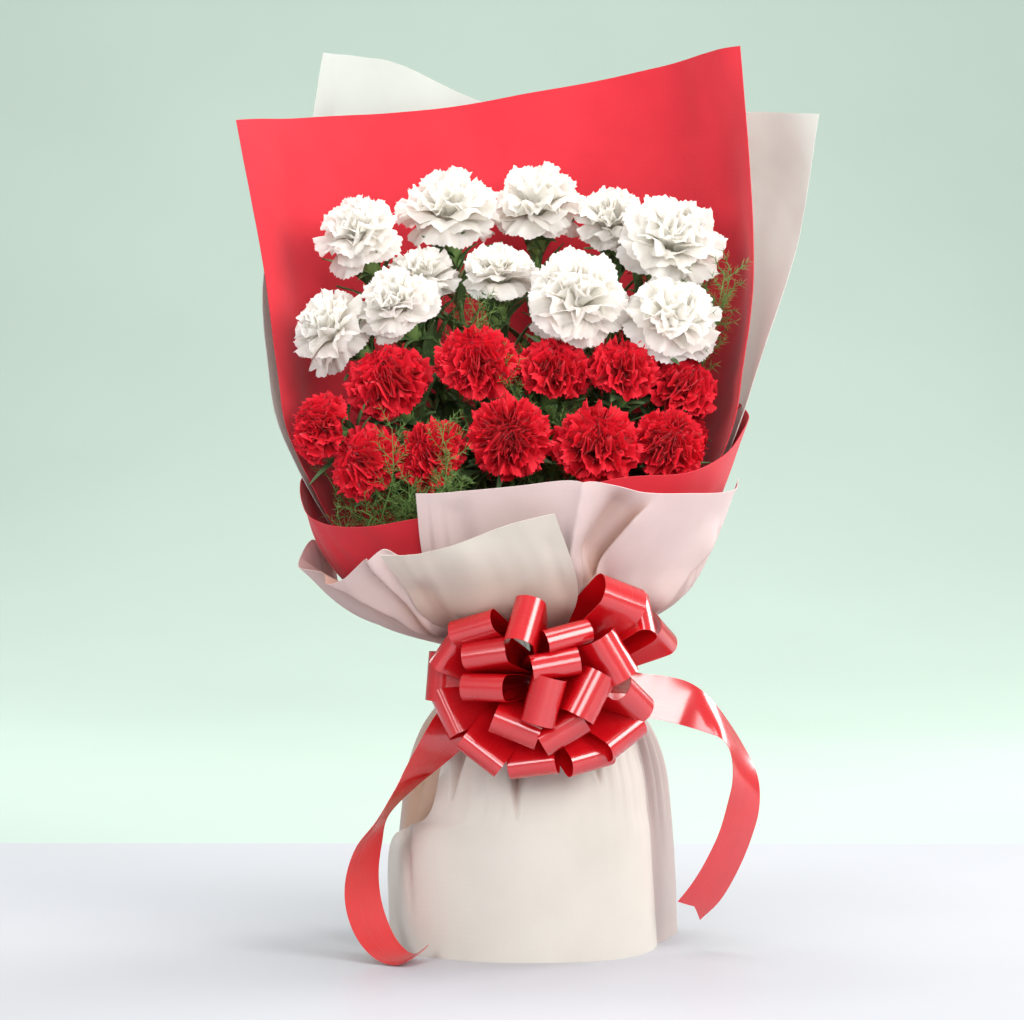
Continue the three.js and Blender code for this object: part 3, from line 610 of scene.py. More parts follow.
# ---------------------------------------------------------------- pieces
@dataclass
class MeshDraft:
    """Gathers the points, faces and surface coordinates of one piece."""

    points: list[Array] = field(default_factory=list)
    surfaces: list[Array] = field(default_factory=list)
    faces: list[tuple[Array, int, bool]] = field(default_factory=list)
    count: int = 0

    def add(self, points: Array, faces: list[tuple[Array, bool]], surface: Array, slot: int = 0) -> None:
        """Adds one body.

        Args:
            points: Its points in mm, as (..., 3).
            faces: Arrays of point numbers, one face a row, each with whether it is shaded smooth.
            surface: The points' surface coordinates, as (..., 2), or (..., 3) with their painted fold shade.
            slot: Which of the piece's finishes it takes.
        """
        self.points.append(points.reshape(-1, 3))
        self.surfaces.append(surface.reshape(-1, surface.shape[-1]))
        self.faces += [(corners + self.count, slot, smooth) for corners, smooth in faces]
        self.count += len(self.points[-1])

    def add_sheet(self, grid: Array, thickness: float, surface: Array, slot: int = 0) -> None:
        """Adds a thin closed sheet.

        Args:
            grid: Points of its middle in mm, as (columns, rows, 3).
            thickness: How thick it is in mm.
            surface: Their surface coordinates, as (columns, rows, 2), or 3 with their painted fold shade.
            slot: Which of the piece's finishes it takes.
        """
        lift = sheet_normals(grid) * thickness / 2
        index = np.arange(2 * grid[..., 0].size).reshape(2, *grid.shape[:2])
        edges = index[:, :, 0], index[:, -1, 1:], index[:, -2::-1, -1], index[:, 0, -2:0:-1]
        border = np.concatenate(edges, axis=1)
        ahead = np.roll(border, -1, axis=1)
        rim = np.stack([border[0], border[1], ahead[1], ahead[0]], axis=-1)
        faces = [(grid_faces(index[0]), True), (grid_faces(index[1])[:, ::-1], True), (rim, False)]
        self.add(np.stack([grid + lift, grid - lift]), faces, np.stack([surface, surface]), slot)

    def add_skins(self, grid: Array, surface: Array) -> None:
        """Adds surfaces of one wall on grids of points, as (sheets, columns, rows, 3)."""
        index = np.arange(grid[..., 0].size).reshape(grid.shape[:-1])
        self.add(grid, [(grid_faces(index), True)], surface)

    def add_loft(self, rings: Array, surface: Array) -> None:
        """Adds a closed body through rings of points, with a fan on each end.

        Args:
            rings: Points in mm, as (rings, sides, 3).
            surface: Their surface coordinates, as (rings, sides, 2).
        """
        count, sides = rings.shape[:2]
        index = np.arange(count * sides).reshape(count, sides)
        ahead = np.roll(index, -1, axis=1)
        walls = np.stack([index[:-1], ahead[:-1], ahead[1:], index[1:]], axis=-1).reshape(-1, 4)
        foot = together(ahead[0], index[0], count * sides)
        head = together(index[-1], ahead[-1], count * sides + 1)
        points, coordinates = (
            np.concatenate([part.reshape(-1, part.shape[-1]), part[[0, -1]].mean(axis=1)])
            for part in (rings, surface)
        )
        self.add(points, [(walls, True), (foot, False), (head, False)], coordinates)

    def add_tube(self, path: Array, radii: Array, sides: int) -> None:
        """Adds a closed tube that doesn't twist along its path.

        Args:
            path: Points along its middle in mm.
            radii: Its radius at each point in mm.
            sides: How many sides it has.
        """
        ahead = unit(np.gradient(path, axis=0))
        first = np.empty_like(ahead)
        first[0] = turned_to(ahead[0])[:, 0]
        for i in range(1, len(path)):
            first[i] = unit(first[i - 1] - ahead[i] * (first[i - 1] @ ahead[i]))
        second = np.cross(ahead, first)
        angle = circle(sides)
        across = first[:, None] * np.cos(angle)[:, None] + second[:, None] * np.sin(angle)[:, None]
        surface = together(travelled(path)[:, None] * MM, angle / TURN)
        self.add_loft(path[:, None] + across * radii[:, None, None], surface)

    def build(self, name: str, finishes: tuple[Finish, ...]) -> bpy.types.Object:
        """Makes the piece.

        Args:
            name: The piece's name.
            finishes: Its finishes, by slot.

        Returns:
            The piece's object, at the place that the frame gives it.
        """
        counts = [len(corners) for corners, _, _ in self.faces]
        sizes = np.repeat([corners.shape[1] for corners, _, _ in self.faces], counts).astype(np.int32)
        slots = np.repeat([slot for _, slot, _ in self.faces], counts).astype(np.int32)
        smooth = np.repeat([shaded for _, _, shaded in self.faces], counts)
        corners = np.concatenate([corners.reshape(-1) for corners, _, _ in self.faces]).astype(np.int32)
        points = ((np.concatenate(self.points) + axis_shift()) * MM).astype(np.float32)
        surface = np.concatenate(self.surfaces)[corners].astype(np.float32)
        mesh = bpy.data.meshes.new(name)
        mesh.vertices.add(len(points))
        mesh.vertices.foreach_set("co", points.reshape(-1))
        mesh.loops.add(len(corners))
        mesh.loops.foreach_set("vertex_index", corners)
        mesh.polygons.add(len(sizes))
        mesh.polygons.foreach_set("loop_start", np.cumsum(sizes, dtype=np.int32) - sizes)
        mesh.polygons.foreach_set("material_index", slots)
        mesh.polygons.foreach_set("use_smooth", smooth)
        # The second map carries the wrap's painted fold shade.
        for layer, columns in (("surface", [0, 1]), ("tone", [2, 2])):
            if max(columns) < surface.shape[1]:
                uv = mesh.uv_layers.new(name=layer)
                uv.data.foreach_set("uv", surface[:, columns].reshape(-1))
        for finish in finishes:
            mesh.materials.append(finish.material())
        mesh.update(calc_edges=True)
        edges = np.zeros(len(mesh.loops), np.int32)
        mesh.loops.foreach_get("edge_index", edges)
        beside_flat = np.bincount(edges[~np.repeat(smooth, sizes)], minlength=len(mesh.edges)) > 0
        mesh.edges.foreach_set("use_edge_sharp", beside_flat)
        mesh.validate()
        return placed(name, mesh)


@dataclass(frozen=True)
class Cloth:
    """How a sheet was cut and is held, in metres and square metres."""

    flat: tuple[float, float]
    held: str
    rests_on: tuple[str, ...]
    area: float | None = None


@dataclass(frozen=True)
class Label:
    """A piece's name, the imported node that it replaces, that node's slot, its finishes and how it is cut."""

    name: str
    node: str
    slot: str
    finishes: tuple[Finish, ...]
    cloth: Cloth | None = None


class Piece:
    """A piece of the bunch."""

    def label(self) -> Label:
        """What the piece is."""
        raise NotImplementedError

    def shape(self, draft: MeshDraft) -> None:
        """Adds the piece's bodies to its draft."""
        raise NotImplementedError

    def dress(self) -> str:
        """Builds the piece and puts it on the bunch.

        Returns:
            The piece's name.
        """
        draft = MeshDraft()
        self.shape(draft)
        label = self.label()
        piece = draft.build(label.name, label.finishes)
        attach(piece, "root")
        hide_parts(label.node)
        cloth = label.cloth
        if cloth:
            list(cloth.rests_on)
        return piece.name


# ---------------------------------------------------------------- the photograph's view
@dataclass(frozen=True)
class View:
    """Where the photograph was taken from, in mm, and what its pixels measure at the bunch's axis."""

    distance: float = 2000.0
    height: float = 330.0
    pixel: float = 0.6
    level_pixel: tuple[float, float] = (530.0, 393.0)
    middle_pixel: tuple[float, float] = (512.0, 510.0)
    width: int = 1024

    def pixels(self, points: Array) -> Array:
        """Where points of the bunch show in the photograph.

        Args:
            points: The points in mm round the bunch's axis.

        Returns:
            Their pixels, x and then y.
        """
        far = (points[..., 1] + self.distance) / self.distance * self.pixel
        x, y = self.level_pixel
        return together(x + points[..., 0] / far, y - (points[..., 2] - self.height) / far)


VIEW = View()


# ---------------------------------------------------------------- the wrap
class FoldShape(Enum):
    """How a fold is rounded across its line."""

    SOFT = "soft"
    SHARP = "sharp"
    NOTCH = "notch"
    STEP = "step"


@dataclass(frozen=True)
class Crease:
    """A fold of a sheet, along a line in the photograph.

    A notch is widest at its start and closes at its end. A step is high on the left of its way from start to
    end, and overhangs its right. Its painted shade share says how strongly painted shade darkens its hollow or
    foot.
    """

    start: tuple[float, float]
    end: tuple[float, float]
    height: float
    width: float
    shape: FoldShape = FoldShape.SOFT
    overhang: float = 0.0
    tone: float = 0.8
    foot: float = 1.4

    def folded(self, pixels: Array) -> tuple[Array, Array, Array]:
        """What the fold does to its sheet.

        Args:
            pixels: Where the sheet's points show in the photograph.

        Returns:
            How far each point is lifted and how far it is moved aside, in mm, and how much painted shade it
            takes in the fold's hollow or at the step's foot, from 0 to 1.
        """
        way = np.subtract(self.end, self.start)
        length = float(np.linalg.norm(way))
        right = np.array([-way[1], way[0]]) / length
        offset = pixels - np.array(self.start)
        along = offset @ way / length**2
        side = offset @ right * VIEW.pixel
        across = np.abs(side)
        ends = smoothstep(-0.2, 0.2, along) * (1 - smoothstep(0.8, 1.2, along))
        if self.shape is FoldShape.NOTCH:
            share = np.clip(1.6 * (np.clip(1 - along, 0.0, 1.3) - across / self.width), 0.0, 1.0)
        elif self.shape is FoldShape.SHARP:
            share = ends * np.exp(-across / self.width)
        else:
            width = np.where(side > 0, self.foot, self.width) if self.shape is FoldShape.STEP else self.width
            share = ends * np.exp(-((across / width) ** 2))
        # Painted shade: in the hollow of a fold that sinks, and at the low foot of a step.
        shade = share * (self.height < 0)
        if self.shape is FoldShape.STEP:
            shade = ends * smoothstep(-1.0, 1.0, side) * np.exp(-((side / self.width) ** 2))
        aside = self.overhang * share[..., None] * np.array([right[0], 0.0, -right[1]])
        return self.height * share, aside, self.tone * shade


class Hang(Enum):
    """Which way a sheet leaves the waist."""

    UP = 1
    DOWN = -1


def layer_radius(layer: int) -> float:
    """The radius of a layer at the waist."""
    return INNER_LAYER_RADIUS + layer * WAIST_PITCH


@dataclass
class WrapSheet(Piece):
    """One sheet of the wrap, gathered at the waist.

    Its free rows run from the sheet's left edge to its right edge, the one next to the waist first.
    """

    name: str
    node: str
    layer: int
    finish: WrapFinish
    flat: tuple[float, float]
    area: float
    rests_on: tuple[str, ...]
    rows: tuple[Row, ...]
    creases: tuple[Crease, ...] = ()
    hang: Hang = Hang.UP
    pleats: int = 14
    pleat_height: float = 1.5
    sway: float = 1.6
    seed: int = 1
    thickness: float = 0.4
    spacing: float = 2.6

    def label(self) -> Label:
        """What the sheet is."""
        slot = "red_sheet" if self.finish is RED_SHEET else "cream_sheet"
        cloth = Cloth(self.flat, "gathered", self.rests_on, self.area)
        return Label(self.name, self.node, slot, (self.finish,), cloth)

    def smooth_net(self) -> tuple[Array, Array]:
        """The sheet's middle surface without its folds.

        Returns:
            Its points, as (columns, rows, 3), and its flat coordinates in metres, as (columns, rows, 2).
        """
        out = unit(np.array(self.rows[0], float)[:, :2])
        heights = (WAIST_FOOT_Z, WAIST_TOP_Z)[:: self.hang.value]
        radius = layer_radius(self.layer)
        held = [together(*(reach * out).T, z) for reach, z in zip((radius, radius + WAIST_EASE), heights)]
        net = np.array([*held, *self.rows], float)[:: self.hang.value]
        wide, tall = (np.linalg.norm(np.diff(net, axis=i), axis=2).sum(axis=i).max() for i in (1, 0))
        across, up = (np.linspace(0, 1, max(40, int(size / self.spacing))) for size in (wide, tall))
        columns, rows = catmull_weights(net.shape[0], up), catmull_weights(net.shape[1], across)
        flat = together(across[:, None] * wide, up * tall) * MM
        return np.einsum("vr,uc,rck->uvk", columns, rows, net), flat

    def waves(self, away: Array, flat: Array) -> Array:
        """How far gathers and sway lift the sheet.

        Args:
            away: How far its points are over or under the waist, in mm.
            flat: Their flat coordinates in metres.

        Returns:
            The lift in mm, along the surface's normal.
        """
        rng = np.random.default_rng(self.seed)
        free = smoothstep(12.0, 60.0, away)
        gather = smoothstep(12.0, 34.0, away) * (1 - smoothstep(45.0, 120.0, away))
        across = np.linspace(0, 1, len(flat))[:, None]
        wander = 0.35 * np.sin(TURN * (2.3 * across + rng.random()))
        phase = TURN * (self.pleats * across + wander + rng.random())
        lift = self.pleat_height * gather * (np.sin(phase) + 0.35 * np.sin(2 * phase + 1.0))
        x, y = flat[..., 0], flat[..., 1]
        for wave in range(5):
            pace = rng.uniform(8.0, 20.0) * (1 + 0.35 * wave)
            lean = rng.uniform(-0.45, 0.45)
            turn = TURN * rng.random()
            lift = lift + self.sway * free * np.sin(pace * (x + lean * y) * math.pi + turn) / (1.6 + wave)
        return lift + 0.10 * free * np.sin(190 * x + 4 * np.sin(31 * y)) * np.sin(140 * y + 2.0)

    def shape(self, draft: MeshDraft) -> None:
        """Adds the folded sheet.

        Args:
            draft: What they are added to.
        """
        points, flat = self.smooth_net()
        away = np.abs(points[..., 2] - WAIST_Z)
        free = smoothstep(10.0, 40.0, away)
        folds = [crease.folded(VIEW.pixels(points)) for crease in self.creases]
        lift = self.waves(away, flat) + sum(height for height, _, _ in folds) * free
        points = points + sheet_normals(points) * lift[..., None]
        # Painted shade of the folds' hollows, kept per point, on the bunch's front half only.
        tone = np.zeros(free.shape)
        for _, aside, shade in folds:
            points = points + aside * free[..., None]
            tone = np.maximum(tone, shade * (1 - smoothstep(-12.0, 12.0, points[..., 1])))
        draft.add_sheet(points, self.thickness, together(flat[..., 0], flat[..., 1], tone))


WRAP_SHEETS = (
    WrapSheet(
        "wrap_back_red", "back_sheet_red", 0, RED_SHEET, (0.40, 0.40), 0.130, ("stem_tie",),
        (
            ((-96, -23, 226), (-76, 10, 214), (-40, 27, 210), (0, 34, 210), (38, 27, 210), (66, 8, 214),
             (82, -25, 228)),
            ((-139, -27, 296), (-116, 19, 299), (-62, 50, 299), (0, 62, 299), (58, 50, 302), (105, 13, 302),
             (116, -38, 298)),
            ((-150, -18, 345), (-128, 34, 348), (-70, 68, 350), (0, 79, 350), (62, 70, 350), (112, 34, 350),
             (127, -24, 344)),
            ((-161, 4, 410), (-130, 50, 411), (-70, 80, 412), (0, 92, 413), (66, 82, 412), (116, 50, 412),
             (134, -4, 410)),
            ((-178, 30, 496), (-131, 76, 501), (-72, 98, 507), (0, 104, 518), (70, 90, 531), (104, 66, 538),
             (127, 42, 542)),
        ),
        sway=2.4, seed=11,
    ),
    WrapSheet(
        "wrap_back_cream", "back_sheet_cream", 1, BACK_SHEET, (0.42, 0.42), 0.145, ("wrap_back_red",),
        (
            ((-102, -13, 228), (-83, 20, 214), (-44, 37, 210), (0, 43, 210), (42, 37, 210), (75, 16, 214),
             (88, -18, 230)),
            ((-147, -16, 300), (-124, 29, 299), (-66, 62, 299), (0, 74, 299), (64, 62, 302), (114, 21, 304),
             (121, -24, 304)),
            ((-158, 4, 350), (-134, 48, 350), (-72, 82, 350), (0, 92, 350), (70, 82, 350), (124, 46, 352),
             (141, 6, 356)),
            ((-160, 32, 411), (-132, 68, 412), (-72, 94, 412), (0, 104, 413), (80, 94, 412), (134, 62, 412),
             (160, 36, 411)),
            ((-140, 76, 476), (-116, 96, 472), (-74, 107, 464), (0, 112, 460), (78, 104, 460), (144, 78, 458),
             (170, 48, 456)),
            ((-129, 92, 543), (-106, 102, 541), (-80, 110, 536), (-16, 116, 510), (72, 108, 504),
             (138, 88, 505), (178, 56, 501)),
        ),
        pleat_height=0.9, sway=1.8, seed=12,
    ),
    WrapSheet(
        "wrap_collar", "collar_red", 2, RED_SHEET, (0.36, 0.17), 0.042, ("wrap_back_cream",),
        (
            ((-90, 12, 212), (-96, -12, 209), (-90, -34, 204), (-70, -42, 197), (-42, -50, 194),
             (0, -54, 194), (37, -50, 196), (62, -42, 203), (82, -30, 214), (92, -10, 222), (92, 14, 222)),
            ((-116, 12, 244), (-124, -16, 239), (-110, -48, 227), (-82, -66, 222), (-46, -76, 222),
             (0, -80, 222), (41, -72, 224), (72, -58, 233), (98, -42, 250), (112, -10, 266), (109, 14, 272)),
            ((-131, 12, 284), (-137, -14, 277), (-129, -46, 258), (-107, -73, 252), (-66, -92, 258),
             (0, -100, 270), (51, -97, 281), (93, -76, 285), (117, -46, 296), (130, -8, 314), (127, 16, 324)),
        ),
        pleats=16, pleat_height=0.7, sway=0.8, seed=13,
    ),
    WrapSheet(
        "wrap_front_right", "front_sheet_right", 3, RED_GLOW_CREAM_SHEET, (0.28, 0.17), 0.033, ("wrap_collar",),
        (
            ((-48, -62, 198), (-33, -67, 197), (-6, -68, 197), (22, -71, 199), (44, -64, 200), (68, -56, 202),
             (86, -38, 207), (91, -12, 212)),
            ((-61, -88, 234), (-40, -86, 227), (-6, -87, 224), (26, -95, 227), (42, -82, 229), (72, -70, 228),
             (98, -47, 234), (109, -14, 238)),
            ((-65, -105, 273), (-45, -108, 274), (-6, -114, 277), (31, -116, 281), (63, -107, 274),
             (96, -86, 272), (119, -48, 273), (124, -16, 279)),
        ),
        # These creases also paint shade into their hollows and under their steps.
        (
            Crease((584, 474), (568, 570), 6.0, 5.0, FoldShape.SHARP),
            Crease((626, 496), (588, 562), -9.0, 10.0, tone=0.55),
            Crease((648, 508), (586, 588), 8.0, 9.0, FoldShape.STEP, 7.0, 0.9),
            Crease((655, 606), (712, 532), 5.0, 6.0, FoldShape.STEP, 2.0, 0.5),
            Crease((455, 505), (462, 560), -2.0, 8.0, tone=0.0),
        ),
        pleats=12, pleat_height=0.8, sway=0.9, seed=14, spacing=1.3,
    ),
    WrapSheet(
        "wrap_wing_left", "side_wing_left", 4, RED_GLOW_CREAM_SHEET, (0.19, 0.13), 0.0165, ("wrap_collar",),
        (
            ((-96, 10, 205), (-101, -14, 202), (-101, -34, 198), (-87, -48, 194), (-72, -61, 193),
             (-58, -73, 199), (-48, -71, 196), (-38, -75, 197), (-26, -78, 199)),
            ((-122, 8, 238), (-131, -14, 242), (-136, -42, 228), (-121, -60, 226), (-105, -80, 227),
             (-84, -102, 241), (-68, -96, 233), (-57, -106, 238), (-34, -112, 240)),
        ),
        # These creases also paint shade under their steps.
        (
            Crease((316, 564), (446, 634), 4.5, 7.0, FoldShape.STEP, 4.0, 0.8),
            Crease((366, 552), (442, 624), 4.5, 5.0, FoldShape.STEP, 3.0, 0.8),
        ),
        pleats=9, pleat_height=0.6, sway=0.6, seed=15, spacing=1.3,
    ),
    WrapSheet(
        "wrap_front_left", "front_sheet_left", 5, FRONT_SHEET, (0.13, 0.14), 0.0125,
        ("wrap_front_right", "wrap_wing_left"),
        (
            ((-58, -83, 199), (-40, -86, 198), (-19, -88, 197), (4, -86, 198), (23, -81, 200)),
            ((-72, -98, 220), (-52, -104, 220), (-22, -108, 224), (8, -108, 228), (27, -98, 222)),
            ((-85, -110, 238), (-62, -116, 239), (-36, -121, 247), (-8, -124, 257), (14, -122, 262)),
        ),
        # One of these creases also paints a little shade into its hollow.
        (
            Crease((462, 545), (486, 620), 3.0, 12.0),
            Crease((420, 585), (458, 632), -2.0, 5.0, tone=0.2),
            Crease((548, 540), (566, 600), -2.0, 5.0, tone=0.0),
        ),
        pleats=7, pleat_height=0.3, sway=0.6, seed=16,
    ),
    WrapSheet(
        "skirt_back_layer", "skirt_back", SKIRT_LAYER, SKIRT_LINING, (0.34, 0.19), 0.050,
        ("wrap_front_left",),
        (
            ((46, -27, 140), (60, 4, 140), (58, 34, 140), (30, 52, 140), (-4, 58, 140), (-34, 50, 140),
             (-53, 28, 140), (-55, -4, 140), (-36, -36, 140)),
            ((56, -27, 108), (73, 5, 108), (79, 40, 108), (45, 68, 108), (0, 74, 108), (-42, 66, 108),
             (-66, 36, 108), (-69, -4, 108), (-47, -42, 108)),
            ((62, -29, 60), (79, 5, 60), (86, 46, 60), (50, 77, 60), (0, 86, 60), (-48, 75, 60),
             (-75, 40, 60), (-77, -2, 60), (-62, -37, 60)),
            ((65, -31, 0), (83, 6, 0), (88, 48, 0), (52, 82, 0), (0, 90, 0), (-50, 79, 0), (-78, 43, 0),
             (-79, 2, 0), (-66, -35, 0)),
        ),
        # This crease barely lifts the sheet: it paints a tan shade inside the skirt's left flap.
        (Crease((428, 690), (410, 850), -0.3, 24.0),),
        Hang.DOWN, pleats=18, pleat_height=2.0, sway=1.0, seed=17,
    ),
    WrapSheet(
        "skirt_front_layer", "skirt_front", SKIRT_LAYER + 1, CREAM_SHEET, (0.24, 0.19), 0.036,
        ("skirt_back_layer",),
        (
            ((-47, -38, 140), (-33, -47, 140), (-16, -53, 140), (1, -55, 140), (18, -54, 140), (34, -49, 140),
             (46, -40, 140), (53, -28, 140), (56, -13, 140)),
            ((-53, -47, 108), (-38, -58, 108), (-19, -64, 108), (1, -66, 108), (21, -65, 108), (41, -57, 108),
             (55, -45, 108), (63, -31, 108), (66, -15, 108)),
            ((-60, -52, 82), (-42, -63, 82), (-22, -69, 82), (0, -71, 82), (22, -70, 82), (43, -62, 82),
             (58, -48, 82), (66.5, -33, 82), (69.5, -16, 82)),
            ((-83, -20, 62), (-68, -50, 64), (-34, -67, 62), (-6, -74, 62), (20, -73, 62), (43, -65, 62),
             (60, -49, 62), (69, -34, 62), (72, -16, 62)),
            ((-84, -14, 0), (-70, -50, 0), (-38, -72, 0), (-6, -79, 0), (22, -78, 0), (45, -70, 0),
             (62, -54, 0), (72, -36, 0), (76, -17, 0)),
        ),
        # The notches also paint shade into their hollows.
        (
            Crease((517, 735), (516, 828), -9.0, 9.0, FoldShape.NOTCH),
            Crease((460, 740), (450, 808), -7.0, 7.0, FoldShape.NOTCH, tone=0.6),
            Crease((592, 740), (602, 790), -6.0, 6.0, FoldShape.NOTCH, tone=0.6),
            Crease((404, 836), (413, 925), -3.0, 4.5, FoldShape.NOTCH, tone=0.3),
        ),
        Hang.DOWN, pleats=11, pleat_height=0.3, sway=0.3, seed=18, spacing=1.7,
    ),
)


class WrapCage:
    """The sheets next to the flowers, which leaves and ferns stay inside of."""

    def __init__(self, sheets: list[WrapSheet]) -> None:
        """Reads every third point of the sheets' nets.

        Args:
            sheets: The sheets.
        """
        grids = [sheet.smooth_net()[0][::3, ::3] for sheet in sheets]
        self.points = np.concatenate([grid.reshape(-1, 3) for grid in grids])
        facing = np.concatenate([sheet_normals(grid).reshape(-1, 3) for grid in grids])
        self.normals = facing * np.sign(np.sum((facing * self.points)[:, :2], axis=1, keepdims=True))

    def holds(self, point: Array, margin: float = 3.0) -> bool:
        """Whether a point is inside of the sheets.

        Args:
            point: The point in mm.
            margin: How far inside it has to be.

        Returns:
            Whether it is, or is past the sheets' edges.
        """
        gaps = point - self.points
        nearest = int(np.argmin(np.einsum("ij,ij->i", gaps, gaps)))
        ahead = float(gaps[nearest] @ self.normals[nearest])
        aside = float(np.linalg.norm(gaps[nearest] - ahead * self.normals[nearest]))
        return ahead < -margin or aside > 12.0


CAGE = WrapCage([sheet for sheet in WRAP_SHEETS if sheet.finish is RED_SHEET or sheet.layer == 3])


# ---------------------------------------------------------------- blooms
@dataclass(frozen=True)
class PetalLayer:
    """One layer of a bloom's petals. Lengths are shares of the bloom's radius.

    lean is the angle in degrees between the bloom's axis and the petals' edge, seen from the core's middle, and
    droop is how much further out the edge points. width is half a petal's width.
    """

    lean: float
    reach: float
    count: int
    width: float
    droop: float
    ruffle: float
    waves: float


@dataclass(frozen=True)
class BloomKind:
    """What the blooms of one colour have in common."""

    colour: str
    finish: PetalFinish
    teeth: int
    tooth_depth: float
    frill: float
    crumple: float
    scatter: float
    layers: tuple[PetalLayer, ...]


@dataclass(frozen=True)
class BloomHead(Piece):
    """A head of ruffled, toothed petals. foot is its stem's place at the waist."""

    kind: BloomKind
    number: int
    foot: tuple[float, float]
    name: str
    middle: Point
    facing: Point
    radius: float
    core_height: float = 0.32
    middle_height: float = 0.5
    clearance: float = 0.4
    throat_radius: float = 2.2
    throat_depth: float = 3.0
    rows: int = 12

    def named(self, text: str) -> str:
        """A name with the bloom's own name after it."""
        return f"{text}_{self.kind.colour}_{self.name}"

    def label(self) -> Label:
        """What the head is."""
        slot = self.kind.colour + "_petal"
        return Label(self.named("petals"), self.named("bloom"), slot, (self.kind.finish,))

    def axis(self) -> Array:
        """The direction that the head faces."""
        return unit(np.array(self.facing, float))

    def mouth(self) -> Array:
        """The middle of the calyx's mouth."""
        return np.array(self.middle, float) - self.middle_height * self.radius * self.axis()

    def layer_grid(self, layer: PetalLayer, first: int, rng: np.random.Generator) -> tuple[Array, Array]:
        """The petals of one layer, standing on the origin round the Z axis.

        Args:
            layer: The layer's form.
            first: The number of its first petal, for the petals' own tints.
            rng: The bloom's random draws.

        Returns:
            Points as (petals, columns, rows, 3) and surface coordinates as (petals, columns, rows, 2).
        """
        kind, radius = self.kind, self.radius
        petals = np.arange(layer.count)[:, None, None]
        u = np.linspace(-1, 1, 2 * kind.teeth + 1)[:, None]
        s = np.linspace(0, 1, self.rows) ** 0.75

        def draw(low: float, high: float, columns: int = 1) -> Array:
            """One draw for each petal, or for each of its columns."""
            return rng.uniform(low, high, (layer.count, columns, 1))

        azimuth = TURN * (petals + draw(-0.22, 0.22)) / layer.count + GOLDEN_ANGLE * first
        lean = np.radians(layer.lean + draw(-1, 1) * kind.scatter)
        reach = radius * layer.reach * draw(0.88, 1.04)
        notch = np.arange(u.size)[:, None] % 2
        edge = 1 - kind.tooth_depth * draw(0.5, 1.3, u.size) * notch * s**7
        along = s * edge * (1 - draw(0.10, 0.24) * u**2 * s)

        # The petal's middle line, from inside the calyx up and outwards over its own edge.
        core = self.core_height * radius + self.clearance
        end_r, end_z = reach * np.sin(lean), core + reach * np.cos(lean)
        turn = lean + np.radians(layer.droop + draw(-10, 10))
        pull = 0.42 * radius
        r, slope_r = bezier(along, self.throat_radius, 0.10 * radius, end_r - pull * np.sin(turn), end_r)
        z, slope_z = bezier(along, -self.throat_depth, 0.34 * radius, end_z - pull * np.cos(turn), end_z)
        slope = np.hypot(slope_r, slope_z) + 1e-6

        half = radius * layer.width * draw(0.85, 1.15) * (0.14 + 0.86 * smoothstep(0.12, 0.78, s))
        bend = np.maximum(r, 0.42 * radius)
        swing = half * u / bend
        pace = math.pi * layer.waves * u
        wave = np.sin(pace + draw(0, 6.3)) + 0.45 * np.sin(2.1 * pace + draw(0, 6.3))
        frill = np.sin(3.7 * pace + draw(0, 6.3))
        lift = radius * (layer.ruffle * draw(0.6, 1.3) * wave * s**1.9 + kind.frill * frill * s**5)
        lift = lift + radius * 0.06 * draw(-1, 1) * u * s
        lift = lift + rng.normal(0, kind.crumple * radius, lift.shape) * s

        lift_r = lift * slope_z / slope
        out = r - bend * (1 - np.cos(swing)) + lift_r * np.cos(swing)
        side = (bend + lift_r) * np.sin(swing)
        x = out * np.cos(azimuth) - side * np.sin(azimuth)
        y = out * np.sin(azimuth) + side * np.cos(azimuth)
        return together(x, y, z - lift * slope_r / slope), together(first + petals + 0.5 + 0.48 * u, s)

    def shape(self, draft: MeshDraft) -> None:
        """Adds the head's petals.

        Args:
            draft: What they are added to.
        """
        rng = np.random.default_rng(100 + self.number)
        first = 0
        for layer in self.kind.layers:
            grid, surface = self.layer_grid(layer, first, rng)
            draft.add_skins(grid @ turned_to(self.axis()).T + self.mouth(), surface)
            first += layer.count


WHITE_KIND = BloomKind("white", WHITE_PETAL, 12, 0.032, 0.010, 0.003, 13.0, (
    PetalLayer(114, 1.08, 6, 0.62, 28, 0.08, 1.7),
    PetalLayer(96, 1.10, 6, 0.60, 26, 0.10, 1.9),
    PetalLayer(76, 1.06, 7, 0.56, 18, 0.12, 2.1),
    PetalLayer(56, 1.00, 6, 0.52, 10, 0.13, 2.3),
    PetalLayer(36, 0.95, 5, 0.48, 2, 0.14, 2.4),
    PetalLayer(16, 0.90, 4, 0.42, -4, 0.14, 2.4),
))
RED_KIND = BloomKind("red", RED_PETAL, 15, 0.04, 0.02, 0.005, 9.0, (
    PetalLayer(102, 1.02, 8, 0.52, 26, 0.15, 2.2),
    PetalLayer(86, 1.02, 9, 0.50, 20, 0.17, 2.4),
    PetalLayer(70, 0.96, 9, 0.46, 12, 0.19, 2.6),
    PetalLayer(54, 0.92, 8, 0.44, 4, 0.20, 2.8),
    PetalLayer(38, 0.85, 7, 0.42, -6, 0.20, 3.0),
    PetalLayer(22, 0.80, 5, 0.38, -14, 0.20, 3.0),
    PetalLayer(8, 0.76, 3, 0.34, -20, 0.20, 3.0),
))

